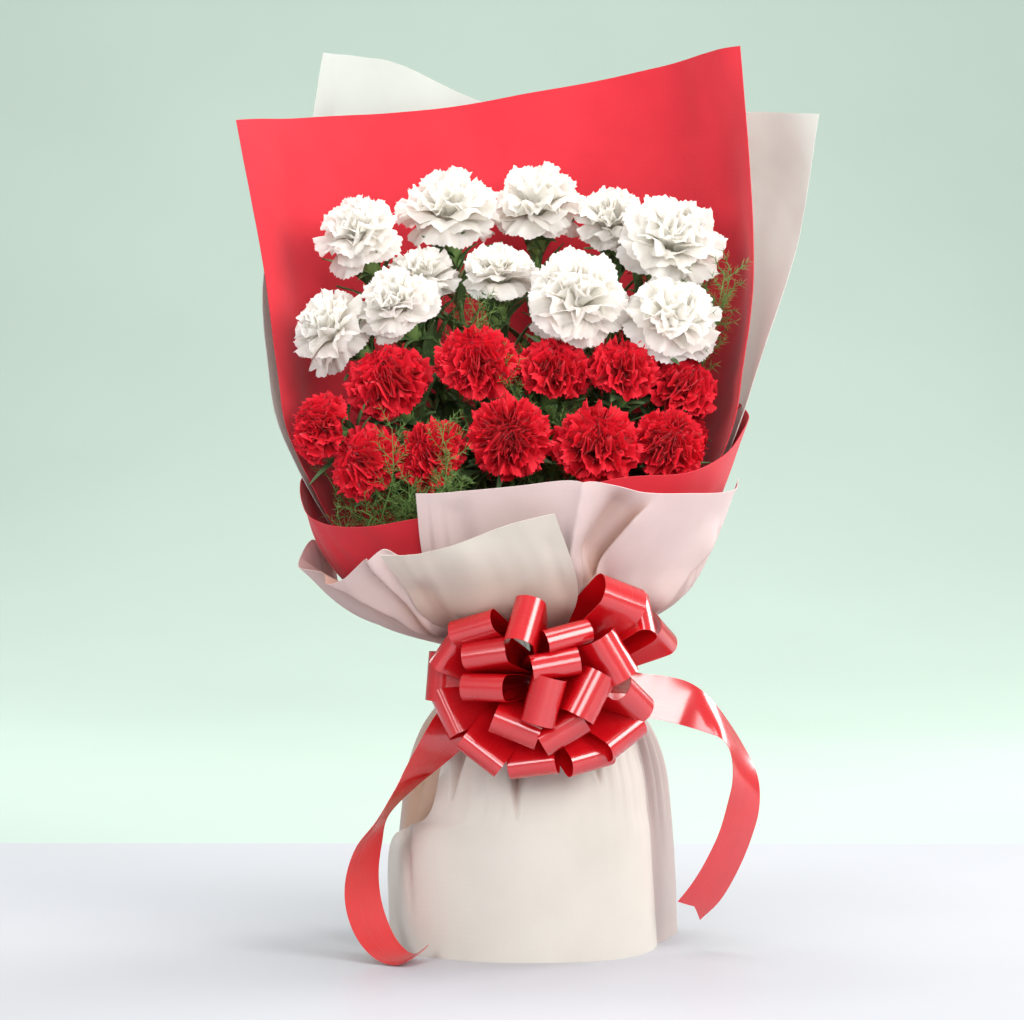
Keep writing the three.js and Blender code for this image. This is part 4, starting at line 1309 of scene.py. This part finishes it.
# Each row's kind, its row of stems counted backwards from the bunch's axis, and its blooms from left to
# right, each with its name, middle, facing and radius.
BLOOM_ROWS = (
    (WHITE_KIND, 2, (
        ("top_1", (-104, 8, 428), (-0.3, -0.45, 0.84), 26),
        ("top_2", (-50, 32, 444), (-0.1, -0.22, 0.97), 31),
        ("top_3", (5, 48, 449), (0, -0.5, 0.86), 29),
        ("top_4", (51, 37, 437), (-0.05, -0.45, 0.89), 24),
        ("top_5", (86, 3, 424), (0.3, -0.6, 0.74), 32),
    )),
    (WHITE_KIND, 1, (
        ("mid_1", (-120, -22, 369), (-0.7, -0.4, 0.5), 26),
        ("mid_2", (-80, -31, 385), (-0.35, -0.6, 0.7), 24),
        ("mid_3", (-65, 6, 401), (-0.1, -0.4, 0.9), 23),
        ("mid_4", (-19, -6, 404), (0, -0.35, 0.93), 23),
        ("mid_5", (29, -27, 388), (0.1, -0.8, 0.6), 31),
        ("mid_6", (86, -26, 376), (0.4, -0.6, 0.7), 29),
    )),
    (RED_KIND, 0, (
        ("upper_1", (-124, -46, 311), (-0.8, -0.45, 0.4), 22),
        ("upper_2", (-84, -42, 339), (-0.35, -0.6, 0.72), 27),
        ("upper_3", (-31, -44, 350), (-0.05, -0.7, 0.7), 26),
        ("upper_4", (14, -34, 345), (0.1, -0.5, 0.86), 24),
        ("upper_5", (55, -36, 345), (0.1, -0.5, 0.86), 23),
        ("upper_6", (92, -22, 335), (0.5, -0.5, 0.7), 23),
        ("upper_7", (95, -14, 307), (0.6, -0.5, 0.5), 14),
    )),
    (RED_KIND, -1, (
        ("lower_1", (-97, -58, 290), (-0.6, -0.7, 0.4), 23),
        ("lower_2", (-58, -64, 295), (-0.4, -0.75, 0.5), 23),
        ("lower_3", (-12, -72, 305), (0, -0.93, 0.36), 26),
        ("lower_4", (39, -66, 302), (0.1, -0.7, 0.7), 27),
        ("lower_5", (82, -52, 301), (0.25, -0.8, 0.5), 24),
    )),
)


def bloom_heads() -> list[BloomHead]:
    """All the blooms, each with its stem's place at the waist.

    Returns:
        The blooms, row by row.
    """
    heads = []
    for kind, row, blooms in BLOOM_ROWS:
        for i, bloom in enumerate(blooms):
            foot = ((i - (len(blooms) - 1) / 2) * STEM_PITCH, row * STEM_ROW_PITCH)
            heads.append(BloomHead(kind, len(heads), foot, *bloom))
    return heads


# ---------------------------------------------------------------- leaves and stems
@dataclass(frozen=True)
class LeafBlade:
    """A narrow keeled leaf that arches from its root to its tip."""

    root: Array
    tip: Array
    stem_direction: Array
    width: float
    thickness: float = 0.5
    keel: float = 0.9
    columns: int = 5
    rows: int = 16

    def add_to(self, draft: MeshDraft) -> None:
        """Adds the leaf to its stem's draft.

        Args:
            draft: What they are added to.
        """
        span = self.tip - self.root
        length = float(np.linalg.norm(span))
        ahead = unit(self.stem_direction)
        outward = unit(span - ahead * float(span @ ahead))
        middle = self.root + ahead * 0.52 * length + outward * 0.08 * length
        share = np.linspace(0, 1, self.rows)
        t = share[:, None]
        line = (1 - t) ** 2 * self.root + 2 * t * (1 - t) * middle + t**2 * self.tip
        side = unit(np.cross(ahead, outward))
        face = unit(np.cross(np.gradient(line, axis=0), side))
        half = self.width / 2 * (0.45 + 0.55 * smoothstep(0, 0.3, share)) * (1 - share**2.6) + 0.15
        across = np.linspace(-1, 1, self.columns)[:, None]
        lift = self.keel * np.abs(across) * np.sin(math.pi * share) ** 0.5
        wave = 0.5 * np.sin(7 * share + self.root[0]) * across * share
        grid = line + side * (across * half)[..., None] - face * (lift + wave)[..., None]
        surface = together((across + 1) / 2 + round(float(self.root[0])), share)
        draft.add_sheet(grid, self.thickness, surface, 1)


@dataclass(frozen=True)
class LeafyStem(Piece):
    """A stem with its swollen joints, its calyx and its leaves."""

    head: BloomHead
    cad_node: bpy.types.Object
    sides: int = 10
    calyx_sides: int = 30
    calyx_teeth: int = 5
    leaf_places: tuple[float, float] = (0.42, 0.62)
    leaf_width: float = 7.0
    extra_leaf_places: tuple[float, ...] = (0.36, 0.55, 0.68, 0.79, 0.88, 0.96)
    extra_leaf_length: float = 44.0
    bracts: int = 7
    bract_length: float = 26.0

    def label(self) -> Label:
        """What the stem is."""
        named = self.head.named
        return Label(named("leafy_stem"), named("stem"), "green_stem", (GREEN_STEM, GREEN_LEAF))

    def neck(self) -> Array:
        """Where the calyx ends and the stem begins."""
        return self.head.mouth() - CALYX_LENGTH * self.head.axis()

    def line(self, t: Array | float) -> tuple[Array, Array]:
        """Points of the stem's curved part, and its directions there.

        Args:
            t: Places along it, from 0 at the waist to 1 at the calyx.

        Returns:
            The points and the unit directions.
        """
        foot, start = self.neck(), np.array([*self.head.foot, STEM_BEND_START_Z])
        pull = STEM_BEND_PULL * float(np.linalg.norm(foot - start))
        points, ahead = bezier(t, start, start + np.array([0, 0, pull]), foot - pull * self.head.axis(), foot)
        return points, unit(ahead)

    def add_stem(self, draft: MeshDraft) -> None:
        """Adds the stem itself, from its cut end to the calyx.

        Args:
            draft: What they are added to.
        """
        straight = together(*self.head.foot, np.array([0.0, 40.0, 80.0, 120.0, WAIST_FOOT_Z]))
        places = np.linspace(0, 1, 26)
        path = np.concatenate([straight, self.line(places[:, None])[0]])
        taper = np.concatenate([np.zeros(len(straight)), places])
        radii = STEM_RADIUS * (1 - STEM_TAPER * taper)
        for joint in (0.36, 0.74):
            radii = radii * (1 + 0.4 * np.exp(-(((taper - joint) / 0.025) ** 2)))
        draft.add_tube(path, radii, self.sides)

    def add_calyx(self, draft: MeshDraft) -> None:
        """Adds the ribbed calyx with its pointed teeth.

        Args:
            draft: What they are added to.
        """
        angle = circle(self.calyx_sides)
        tooth = np.abs(np.mod(angle / TURN * self.calyx_teeth, 1.0) - 0.5) * 2
        rib = 1 + 0.03 * np.cos(3 * self.calyx_teeth * angle)
        walls = ((-24.0, 0.40), (-22.5, 0.62), (-19.0, 0.88), (-13.0, 1.0), (-6.0, 1.04), (-1.0, 1.06))
        lips = ((0.4, 4.2, 1.12), (0.2, 4.0, 1.04))
        shapes = [(height, width * rib) for height, width in walls]
        shapes += [(height + rise * tooth**1.6, width + 0.16 * tooth) for height, rise, width in lips]
        shapes.append((-3.0, 0.85))
        rings = np.array([ring(angle, CALYX_RADIUS * width, height) for height, width in shapes])
        surface = together(np.linspace(0, 0.3, len(rings))[:, None], angle / TURN)
        draft.add_loft(rings @ turned_to(self.head.axis()).T + self.head.mouth(), surface)

    def packed_leaf_tip(self) -> Array | None:
        """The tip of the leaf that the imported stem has.

        Returns:
            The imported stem's point farthest from the stem's own line, or None if it has no leaf.
        """
        mesh = self.cad_node.data
        flat = np.zeros(len(mesh.vertices) * 3)
        mesh.vertices.foreach_get("co", flat)
        points = flat.reshape(-1, 3) / MM - axis_shift()
        straight = together(*self.head.foot, np.linspace(0, STEM_BEND_START_Z, 30))
        calyx = self.head.mouth() - np.linspace(0, CALYX_LENGTH, 8)[:, None] * self.head.axis()
        line = np.concatenate([straight, self.line(np.linspace(0, 1, 40)[:, None])[0], calyx])
        gaps = np.linalg.norm(points[:, None] - line, axis=2).min(axis=1)
        farthest = int(np.argmax(gaps))
        return points[farthest] if gaps[farthest] > 2 * CALYX_RADIUS else None

    def add_leaf(self, draft: MeshDraft, root: Array, reach: Array, ahead: Array, width: float) -> None:
        """Adds a leaf, cut shorter or left out where it would pass through the wrap.

        Args:
            draft: The stem's draft.
            root: Where the leaf leaves the stem.
            reach: The way from its root to its tip at full length.
            ahead: The stem's direction at the root.
            width: Its width in mm.
        """
        for share in (1.0, 0.8, 0.6, 0.4):
            if CAGE.holds(root + share * reach):
                LeafBlade(root, root + share * reach, ahead, width).add_to(draft)
                return

    def add_leaves(self, draft: MeshDraft) -> None:
        """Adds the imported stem's leaf, smaller ones in threes at the joints, and bracts under the calyx.

        Args:
            draft: What they are added to.
        """
        number, facing = self.head.number, self.head.axis()
        tip = self.packed_leaf_tip()
        if tip is not None:
            root, ahead = self.line(self.leaf_places[number % len(self.leaf_places)])
            LeafBlade(root, tip, ahead, self.leaf_width).add_to(draft)
        rng = np.random.default_rng(300 + number)
        for joint, t in enumerate(self.extra_leaf_places):
            root, ahead = self.line(t)
            for beside in (0.0, 2.1, 4.2):
                azimuth = number * GOLDEN_ANGLE + joint * 1.1 + beside + rng.uniform(-0.3, 0.3)
                length = self.extra_leaf_length * rng.uniform(0.75, 1.15)
                spread = rng.uniform(0.45, 0.85)
                reach = length * (sideways(ahead, azimuth) * spread + ahead * (1.05 - 0.6 * spread))
                self.add_leaf(draft, root, reach, ahead, rng.uniform(6.5, 10.5))
        for bract in range(self.bracts):
            out = sideways(facing, bract * GOLDEN_ANGLE + number)
            root = self.neck() + facing * 2.2 * bract + out * CALYX_RADIUS * 0.45
            length = self.bract_length * rng.uniform(0.8, 1.2)
            reach = length * (out * rng.uniform(0.55, 0.9) + facing * rng.uniform(0.3, 0.65))
            self.add_leaf(draft, root, reach, facing, rng.uniform(6.5, 9.5))

    def shape(self, draft: MeshDraft) -> None:
        """Adds the stem, its calyx and its leaves.

        Args:
            draft: What they are added to.
        """
        self.add_stem(draft)
        self.add_calyx(draft)
        self.add_leaves(draft)


# ---------------------------------------------------------------- fern
@dataclass(frozen=True)
class FernSpray(Piece):
    """A spray of needle fern: branches with side shoots, twigs round both, and needles round the twigs."""

    node: str
    branches: tuple[Row, ...]
    seed: int
    stem_radius: float = 1.3
    starts: tuple[float, ...] = (0.55, 0.24)
    shoots: int = 15
    shoot_length: float = 58.0
    shoot_radius: float = 0.5
    branch_twigs: int = 26
    shoot_twigs: int = 15
    twig_length: float = 13.0
    twig_radius: float = 0.25
    needles: int = 10
    needle_length: float = 6.5
    needle_radius: float = 0.27

    def label(self) -> Label:
        """What the spray is."""
        return Label(self.node.replace("fern", "fern_spray"), self.node, "fern", (FERN_GREEN,))

    def add_needles(self, draft: MeshDraft, feet: Array, ways: Array, lengths: Array) -> None:
        """Adds three-sided needles that end in a point.

        Args:
            draft: The spray's draft.
            feet: Where they stand.
            ways: The way each grows.
            lengths: How long each is, in mm.
        """
        helper = np.where(np.abs(ways[:, 2:]) < 0.9, [[0, 0, 1.0]], [[1.0, 0, 0]])
        side = unit(np.cross(helper, ways))
        other = np.cross(ways, side)
        angle = circle(3)[:, None]
        across = side[:, None] * np.cos(angle) + other[:, None] * np.sin(angle)
        tips = (feet + ways * lengths[:, None])[:, None]
        points = np.concatenate([feet[:, None] + self.needle_radius * across, tips], axis=1)
        corners = np.array([[0, 2, 1], [0, 1, 3], [1, 2, 3], [2, 0, 3]])
        number = np.arange(len(feet))
        faces = (corners + 4 * number[:, None, None]).reshape(-1, 3)
        draft.add(points, [(faces, True)], together(number[:, None] * 0.37, np.array([0.0, 0.0, 0.0, 1.0])))

    def add_twigs(self, draft: MeshDraft, line: Array, places: Array, rng: np.random.Generator) -> None:
        """Adds needled twigs all round a line.

        Args:
            draft: The spray's draft.
            line: Points that the line goes through.
            places: Where along it the twigs stand, from 0 to 1.
            rng: The spray's random draws.
        """
        for i, (foot, ahead) in enumerate(zip(*stations(line, places))):
            direction = unit(0.85 * sideways(ahead, i * GOLDEN_ANGLE + rng.uniform(-0.3, 0.3)) + 0.6 * ahead)
            length = self.twig_length * rng.uniform(0.7, 1.1)
            if not CAGE.holds(foot + direction * (length + 3.0), 4.0):
                continue
            t = np.linspace(0, 1, 5)[:, None]
            twig = foot + direction * length * t + ahead * 3.0 * t**2
            draft.add_tube(twig, self.twig_radius * np.linspace(1, 0.4, 5), 4)
            share = np.sort(rng.uniform(0.12, 1.0, self.needles))[:, None]
            around = ring(np.arange(self.needles) * GOLDEN_ANGLE * 2, 1.0, 0.0)
            roots = foot + direction * length * share + ahead * 3.0 * share**2
            ways = unit(around @ turned_to(direction).T * 0.75 + direction * 0.7)
            self.add_needles(draft, roots, ways, self.needle_length * rng.uniform(0.6, 1.1, self.needles))

    def shoot_line(self, foot: Array, ahead: Array, number: int, rng: np.random.Generator) -> Array:
        """The line of one side shoot, which grows upwards and towards the inside of the bunch.

        Args:
            foot: Where it leaves its branch.
            ahead: The branch's direction there.
            number: Its number on the branch.
            rng: The spray's random draws.

        Returns:
            Three points that the shoot goes through.
        """
        out = sideways(ahead, number * GOLDEN_ANGLE * 2 + rng.uniform(-0.4, 0.4))
        radial = unit(foot * [1.0, 1.0, 0.0])
        out = out - 1.6 * radial * max(0.0, float(out @ radial))
        rise = np.array([0.0, 0.0, 0.45])
        length = self.shoot_length * rng.uniform(0.75, 1.1)
        middle = foot + unit(out + 0.4 * ahead + rise) * length * 0.5
        return np.array([foot, middle, middle + unit(0.6 * out + 0.5 * ahead + 2 * rise) * length * 0.5])

    def shape(self, draft: MeshDraft) -> None:
        """Adds the branches with their shoots and twigs.

        Args:
            draft: What they are added to.
        """
        rng = np.random.default_rng(self.seed)
        for branch, start in zip(self.branches, self.starts):
            line = np.array(branch, float)
            path = smooth_line(line, np.linspace(0, 1, 60))
            draft.add_tube(path, self.stem_radius * np.linspace(1, 0.35, 60), 8)
            self.add_twigs(draft, line, np.linspace(start, 0.985, self.branch_twigs), rng)
            feet = zip(*stations(line, np.linspace(start, 0.93, self.shoots)))
            for number, (foot, ahead) in enumerate(feet):
                shoot = self.shoot_line(foot, ahead, number, rng)
                if CAGE.holds(shoot[1]) and CAGE.holds(shoot[2]):
                    path = smooth_line(shoot, np.linspace(0, 1, 12))
                    draft.add_tube(path, self.shoot_radius * np.linspace(1, 0.4, 12), 6)
                    self.add_twigs(draft, shoot, np.linspace(0.12, 0.98, self.shoot_twigs), rng)


FERN_SPRAYS = (
    FernSpray(
        "fern_left",
        (
            ((-10.8, -9.4, 0), (-10.8, -9.4, 172), (-34, -30, 212), (-74, -52, 246), (-98, -66, 262)),
            ((-34, -30, 212), (-58, -56, 244), (-72, -76, 266)),
        ),
        41,
    ),
    FernSpray(
        "fern_middle",
        (
            ((0, -9.4, 0), (0, -9.4, 172), (12, -20, 250), (17, -30, 290), (18, -42, 318)),
            ((0, -9.4, 172), (-6, -10, 200), (-34, -16, 300), (-54, -20, 362)),
        ),
        42,
    ),
    FernSpray(
        "fern_right",
        (
            ((14.8, 10.2, 0), (14.8, 10.2, 130), (15.2, 10.6, 184), (38, 19, 250), (76, 36, 330),
             (108, 34, 396)),
            ((76, 36, 330), (100, 24, 350), (112, 14, 376)),
        ),
        43,
    ),
)


# ---------------------------------------------------------------- ribbon
class TailEnd(Enum):
    """How the free end of a ribbon tail is cut."""

    SLANTED = "slanted"
    NOTCHED = "notched"


@dataclass(frozen=True)
class RibbonTail:
    """A tail of ribbon: stations of its middle and half width, from the band outwards."""

    stations: tuple[tuple[Point, Point], ...]
    end: TailEnd
    crown: float = 0.5
    cut: float = 9.0
    steps: int = 170
    columns: int = 17

    def grid(self) -> tuple[Array, Array]:
        """The tail's middle surface.

        Returns:
            Points as (columns, steps, 3) and surface coordinates in metres as (columns, steps, 2).
        """
        middles, halves = np.array(self.stations, float).transpose(1, 0, 2)
        length = travelled(middles)[-1]
        across = np.linspace(-1, 1, self.columns)[:, None]
        shape = across if self.end is TailEnd.SLANTED else 1 - 2 * np.abs(across)
        places = np.linspace(0, 1, self.steps) * (1 - (0.5 + 0.5 * shape) * self.cut / length)
        weights = catmull_weights(len(middles), places.reshape(-1))
        line, half = ((weights @ part).reshape(*places.shape, 3) for part in (middles, halves))
        normal = unit(np.cross(np.gradient(line, axis=1), half))
        bowed = line + half * across[..., None] + normal * (self.crown * (1 - across**2))[..., None]
        return bowed, together(places * length, across * RIBBON_WIDTH / 2) * MM


@dataclass(frozen=True)
class RibbonBand(Piece):
    """The ribbon round the waist with its two tails."""

    tails: tuple[RibbonTail, RibbonTail]
    height: float = 16.0
    thickness: float = 1.2
    folds: int = 4
    sides: int = 120
    rows: int = 15
    ribbon_thickness: float = 0.3
    flat_length: float = 0.60

    def label(self) -> Label:
        """What the ribbon is."""
        under = ("skirt_front_layer", "skirt_back_layer")
        cloth = Cloth((RIBBON_WIDTH * MM, self.flat_length), "hung", under)
        return Label("ribbon_with_tails", "ribbon", "ribbon", (RED_RIBBON,), cloth)

    def shape(self, draft: MeshDraft) -> None:
        """Adds the turns round the waist, gathered into folds, and the tails.

        Args:
            draft: What they are added to.
        """
        inner = layer_radius(BAND_LAYER)
        angle = circle(self.sides)
        out = np.array([0.0, *np.ones(self.rows), 0.0])[:, None]
        share = np.array([-0.5, *np.linspace(-0.5, 0.5, self.rows), 0.5])[:, None]
        crumple = np.sin(TURN * self.folds * share + 1.4 * np.sin(3 * angle))
        radius = inner + out * (self.thickness * 0.75 + 0.45 * crumple)
        height = WAIST_Z + share * self.height + 0.5 * np.sin(7 * angle + 3 * share) * np.abs(share)
        points = ring(angle, radius, height)
        index = np.arange(points[..., 0].size).reshape(points.shape[:2])
        ahead = np.roll(index, -1, axis=1)
        faces = np.stack([index, ahead, np.roll(ahead, -1, axis=0), np.roll(index, -1, axis=0)], axis=-1)
        surface = together(angle * inner * MM, np.linspace(0, self.height * MM, len(points))[:, None])
        draft.add(points, [(faces.reshape(-1, 4), True)], surface)
        for tail in self.tails:
            grid, surface = tail.grid()
            draft.add_sheet(grid, self.ribbon_thickness, surface)


@dataclass(frozen=True)
class BowLoop:
    """A loop of the bow: its round end's middle, its ribbon's slope in degrees, its round end's radius."""

    end: Point
    slope: float
    radius: float


@dataclass(frozen=True)
class PullBow(Piece):
    """The rosette of ribbon loops on the front of the band."""

    loops: tuple[BowLoop, ...]
    hub: Point = (4.0, -50.2, WAIST_Z)
    hub_radius: float = 9.0
    hub_sides: int = 36
    hub_rings: int = 12
    root: float = 6.0
    root_gap: float = 2.4
    root_width: float = 0.18
    end_depth: float = 0.8
    thickness: float = 0.3
    columns: int = 5
    flat_length: float = 2.6

    def label(self) -> Label:
        """What the bow is."""
        cloth = Cloth((RIBBON_WIDTH * MM, self.flat_length), "folded", ("ribbon_with_tails",))
        return Label("pull_bow", "bow_rosette", "ribbon", (RED_RIBBON,), cloth)

    def loop_grid(self, loop: BowLoop) -> tuple[Array, Array]:
        """One loop's middle surface.

        Args:
            loop: The loop's place and size.

        Returns:
            Points as (columns, steps, 3) and surface coordinates in metres as (columns, steps, 2).
        """
        span = np.array(loop.end, float) - self.hub
        reach = float(np.linalg.norm(span))
        outward = span / reach
        angle = math.radians(loop.slope)
        width = np.array([math.cos(angle), 0.0, math.sin(angle)])
        width = unit(width - outward * float(width @ outward))
        lift = np.cross(outward, width)
        turns = np.linspace(-math.pi / 2, math.pi / 2, 25)
        root = (self.root, 0.5 * self.root_gap)
        side = np.array([root, (0.36 * reach, 0.45 * loop.radius), (0.68 * reach, 0.86 * loop.radius)])
        depth = loop.radius * self.end_depth
        round_end = together(reach + depth * np.cos(turns), loop.radius * np.sin(turns))
        line = np.concatenate([side * [1, -1], round_end, side[::-1]])
        knots = np.concatenate([[0, 1, 2], 2 + np.linspace(0.8, 3.2, 25), [6.2, 7.2, 8.2]])
        steps = np.linspace(0, knots[-1], 64)
        out, up = (np.interp(steps, knots, part) for part in line.T)
        for _ in range(3):
            for part in (out, up):
                part[1:-1] = np.convolve(part, [0.25, 0.5, 0.25], "same")[1:-1]
        middle = self.hub + outward * out[:, None] + lift * up[:, None]
        share = smoothstep(self.root, 0.62 * reach, out)
        half = RIBBON_WIDTH / 2 * (self.root_width + (1 - self.root_width) * share)
        across = np.linspace(-1, 1, self.columns)[:, None] * half
        return middle + width * across[..., None], together(travelled(middle), across) * MM

    def shape(self, draft: MeshDraft) -> None:
        """Adds the gathered ribbon in the middle, and the loops that spring from it.

        Args:
            draft: What they are added to.
        """
        angle = circle(self.hub_sides)
        lean = math.pi * (np.arange(self.hub_rings) + 0.5)[:, None] / self.hub_rings
        radius = self.hub_radius * (1 + 0.12 * np.sin(9 * angle + 2 * lean)) * np.sin(lean)
        rings = ring(angle, radius, self.hub_radius * np.cos(lean))[..., [0, 2, 1]] + self.hub
        draft.add_loft(rings, together(np.linspace(0, 0.03, self.hub_rings)[:, None], angle * 0.005))
        for loop in self.loops:
            grid, surface = self.loop_grid(loop)
            draft.add_sheet(grid, self.thickness, surface)


RIBBON = RibbonBand(
    tails=(
        RibbonTail(
            (
                ((-10, -37.4, WAIST_Z), (0.5, -1, 7.5)),
                ((-22, -50, 157), (-1, -1, 13)),
                ((-42, -62, 139), (-7, -3, 11.7)),
                ((-58, -64, 118), (-9, -10, 4)),
                ((-73, -64, 99), (-6, -13, 0)),
                ((-86, -62, 82), (-3, -13.7, 0)),
                ((-94, -60, 66), (-7, -12, 0)),
                ((-98, -60, 48), (-9, -10.7, 0)),
                ((-97, -62, 31), (-10, -9.8, 0)),
                ((-91, -67, 15), (-10, -9.8, 0)),
                ((-82, -74, 5), (-8, -11.4, -1)),
                ((-72, -80, 2.2), (-5, -13, -1)),
                ((-62, -84, 8), (-3, -13.6, -1)),
            ),
            TailEnd.SLANTED,
        ),
        RibbonTail(
            (
                ((16, -35.3, WAIST_Z), (0.5, 1, 7.5)),
                ((38, -50, 159), (2, 4, 13.2)),
                ((60, -49, 153), (3, 5, 12.7)),
                ((76, -43, 151), (4, 6, 12)),
                ((91, -38, 147), (3, 7, 11.8)),
                ((104, -38, 141), (1, 10, 10)),
                ((114, -38, 133), (1, 12.6, 6)),
                ((122, -38, 120), (4, 13.2, 2)),
                ((127, -38, 103), (8, 11.4, 0)),
                ((126, -38, 86), (10, 9.6, -2)),
                ((121, -38, 68), (10, 9.3, -3)),
                ((113, -38, 50), (10, 9, -4)),
                ((104, -38, 35), (9, 9, -6)),
                ((94, -38, 24), (7, 10, -7)),
            ),
            TailEnd.NOTCHED,
            cut=5.0,
        ),
    )
)
BOW = PullBow(
    loops=tuple(
        BowLoop(end, slope, radius)
        for end, slope, radius in (
            ((-32, -102, 197), 0, 7),
            ((-3, -116, 200), 80, 9),
            ((21, -109, 192), 22, 7),
            ((50, -99, 213), 5, 11),
            ((64, -84, 201), 57, 8),
            ((75, -66, 190), 15, 8),
            ((-46, -90, 184), 40, 6),
            ((-24, -104, 182), 0, 8),
            ((14, -113, 176), 12, 8),
            ((47, -106, 180), -55, 10),
            ((-53, -75, 166), 88, 8),
            ((-25, -103, 162), 0, 8),
            ((8, -114, 156), 75, 10),
            ((34, -110, 158), 58, 10),
            ((58, -93, 155), -25, 9),
            ((-47, -80, 145), -42, 7),
            ((-8, -105, 139), -20, 8),
            ((19, -107, 137), 30, 8),
            ((53, -90, 132), 5, 8),
            ((-28, -92, 123), -35, 7),
            ((2, -92, 116), 20, 7),
            ((34, -92, 120), -10, 8),
        )
    )
)


# ---------------------------------------------------------------- studio
def look(viewer: bpy.types.Object, place: Point, aim: Point) -> None:
    """Puts a light or a camera at a place in metres, so that it looks at another."""
    viewer.location = Vector(place)
    viewer.rotation_euler = (Vector(aim) - Vector(place)).to_track_quat("-Z", "Y").to_euler()


@dataclass(frozen=True)
class Lamp:
    """A soft square light, and the point that it looks at, in metres and watts."""

    name: str
    place: Point
    size: float
    power: float
    colour: Colour = (1.0, 1.0, 1.0)
    aim: Point = (0.0, 0.0, 0.28)

    def hang(self) -> None:
        """Adds the light."""
        light = bpy.data.lights.new(self.name, "AREA")
        light.shape = "SQUARE"
        light.size = self.size
        light.energy = self.power
        light.color = self.colour
        look(placed(self.name, light), self.place, self.aim)


LAMPS = (
    Lamp("key_light", (1.30, -1.15, 1.05), 1.0, 28.0, (1.0, 0.985, 0.96)),
    Lamp("fill_light", (-1.15, -1.45, 0.95), 0.9, 16.0, (0.98, 0.99, 1.0)),
    Lamp("top_light", (0.1, -0.3, 1.7), 0.9, 13.0),
    Lamp("front_light", (0.45, -2.3, 0.9), 0.9, 18.0),
    Lamp("backdrop_light", (0.0, 0.8, 2.3), 1.6, 55.0, aim=(0.0, 2.4, 0.5)),
    Lamp("back_right_light", (1.5, 0.9, 0.9), 0.9, 26.0),
    Lamp("back_left_light", (-1.2, 1.3, 0.9), 0.9, 9.0),
)


@dataclass(frozen=True)
class Studio:
    """The floor, the backdrop, the lights and the camera. Sizes are in metres."""

    floor_size: float = 4.0
    backdrop_behind: float = 0.434
    backdrop_height: float = 3.2
    sweep_rise: float = 1.3
    sweep_radius: float = 1.8
    sweep_steps: int = 24
    sensor: float = 36.0
    air_colour: tuple[float, float, float, float] = (0.95, 0.97, 1.0, 1.0)
    air_strength: float = 0.36

    def place_strip(self, line: list[tuple[float, float]], finish: StudioFinish) -> None:
        """Adds a plain surface as wide as the floor.

        Args:
            line: Where it runs, as places towards the back and up.
            finish: Its finish.
        """
        half = self.floor_size / 2
        points = [(side * half, float(back), float(up)) for back, up in line for side in (-1, 1)]
        faces = [(2 * i, 2 * i + 1, 2 * i + 3, 2 * i + 2) for i in range(len(line) - 1)]
        mesh = bpy.data.meshes.new(finish.name)
        mesh.from_pydata(points, [], faces)
        mesh.materials.append(finish.material())
        mesh.polygons.foreach_set("use_smooth", np.full(len(faces), True))
        placed(finish.name, mesh)

    def place_camera(self) -> None:
        """Adds the camera where the photograph was taken from."""
        camera = bpy.data.cameras.new("camera")
        camera.sensor_width = self.sensor
        camera.lens = self.sensor * VIEW.distance / (VIEW.width * VIEW.pixel)
        across, down = np.subtract(VIEW.middle_pixel, VIEW.level_pixel) * VIEW.pixel
        viewer = placed("camera", camera)
        eye = axis_shift() + [0.0, -VIEW.distance, VIEW.height]
        look(viewer, eye * MM, (axis_shift() + [across, 0.0, VIEW.height - down]) * MM)
        bpy.context.scene.camera = viewer

    def build(self) -> None:
        """Builds the studio round the bunch."""
        behind = self.backdrop_behind + float(axis_shift()[1]) * MM
        self.place_strip([(-self.floor_size / 2, 0.0), (behind, 0.0)], FLOOR)
        turn = np.linspace(0, math.pi / 2, self.sweep_steps)
        rising = self.sweep_rise + self.sweep_radius * np.sin(turn)
        sweep = together(rising, self.sweep_radius * (1 - np.cos(turn)))
        self.place_strip([(behind, 0.0), *sweep, (sweep[-1, 0], self.backdrop_height)], BACKDROP)
        for lamp in LAMPS:
            lamp.hang()
        world = bpy.data.worlds.new("studio_air")
        world.use_nodes = True
        air = world.node_tree.nodes["Background"]
        air.inputs["Color"].default_value = self.air_colour
        air.inputs["Strength"].default_value = self.air_strength
        bpy.context.scene.world = world
        bpy.context.scene.view_settings.view_transform = "Standard"
        self.place_camera()


def main() -> None:
    """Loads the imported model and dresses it, piece by piece."""
    logging.basicConfig(level=logging.INFO, format="%(name)s: %(message)s")
    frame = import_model()
    nodes = frame["nodes"]
    Studio().build()
    blooms = [part for head in bloom_heads() for part in (head, LeafyStem(head, nodes[head.named("stem")]))]
    for piece in (*WRAP_SHEETS, *blooms, *FERN_SPRAYS, RIBBON, BOW):
        LOG.info("piece %s", piece.dress())
    tie = nodes["stem_tie"].data.materials
    tie.clear()
    tie.append(TIE_STRING.material())


if __name__ == "__main__":
    main()
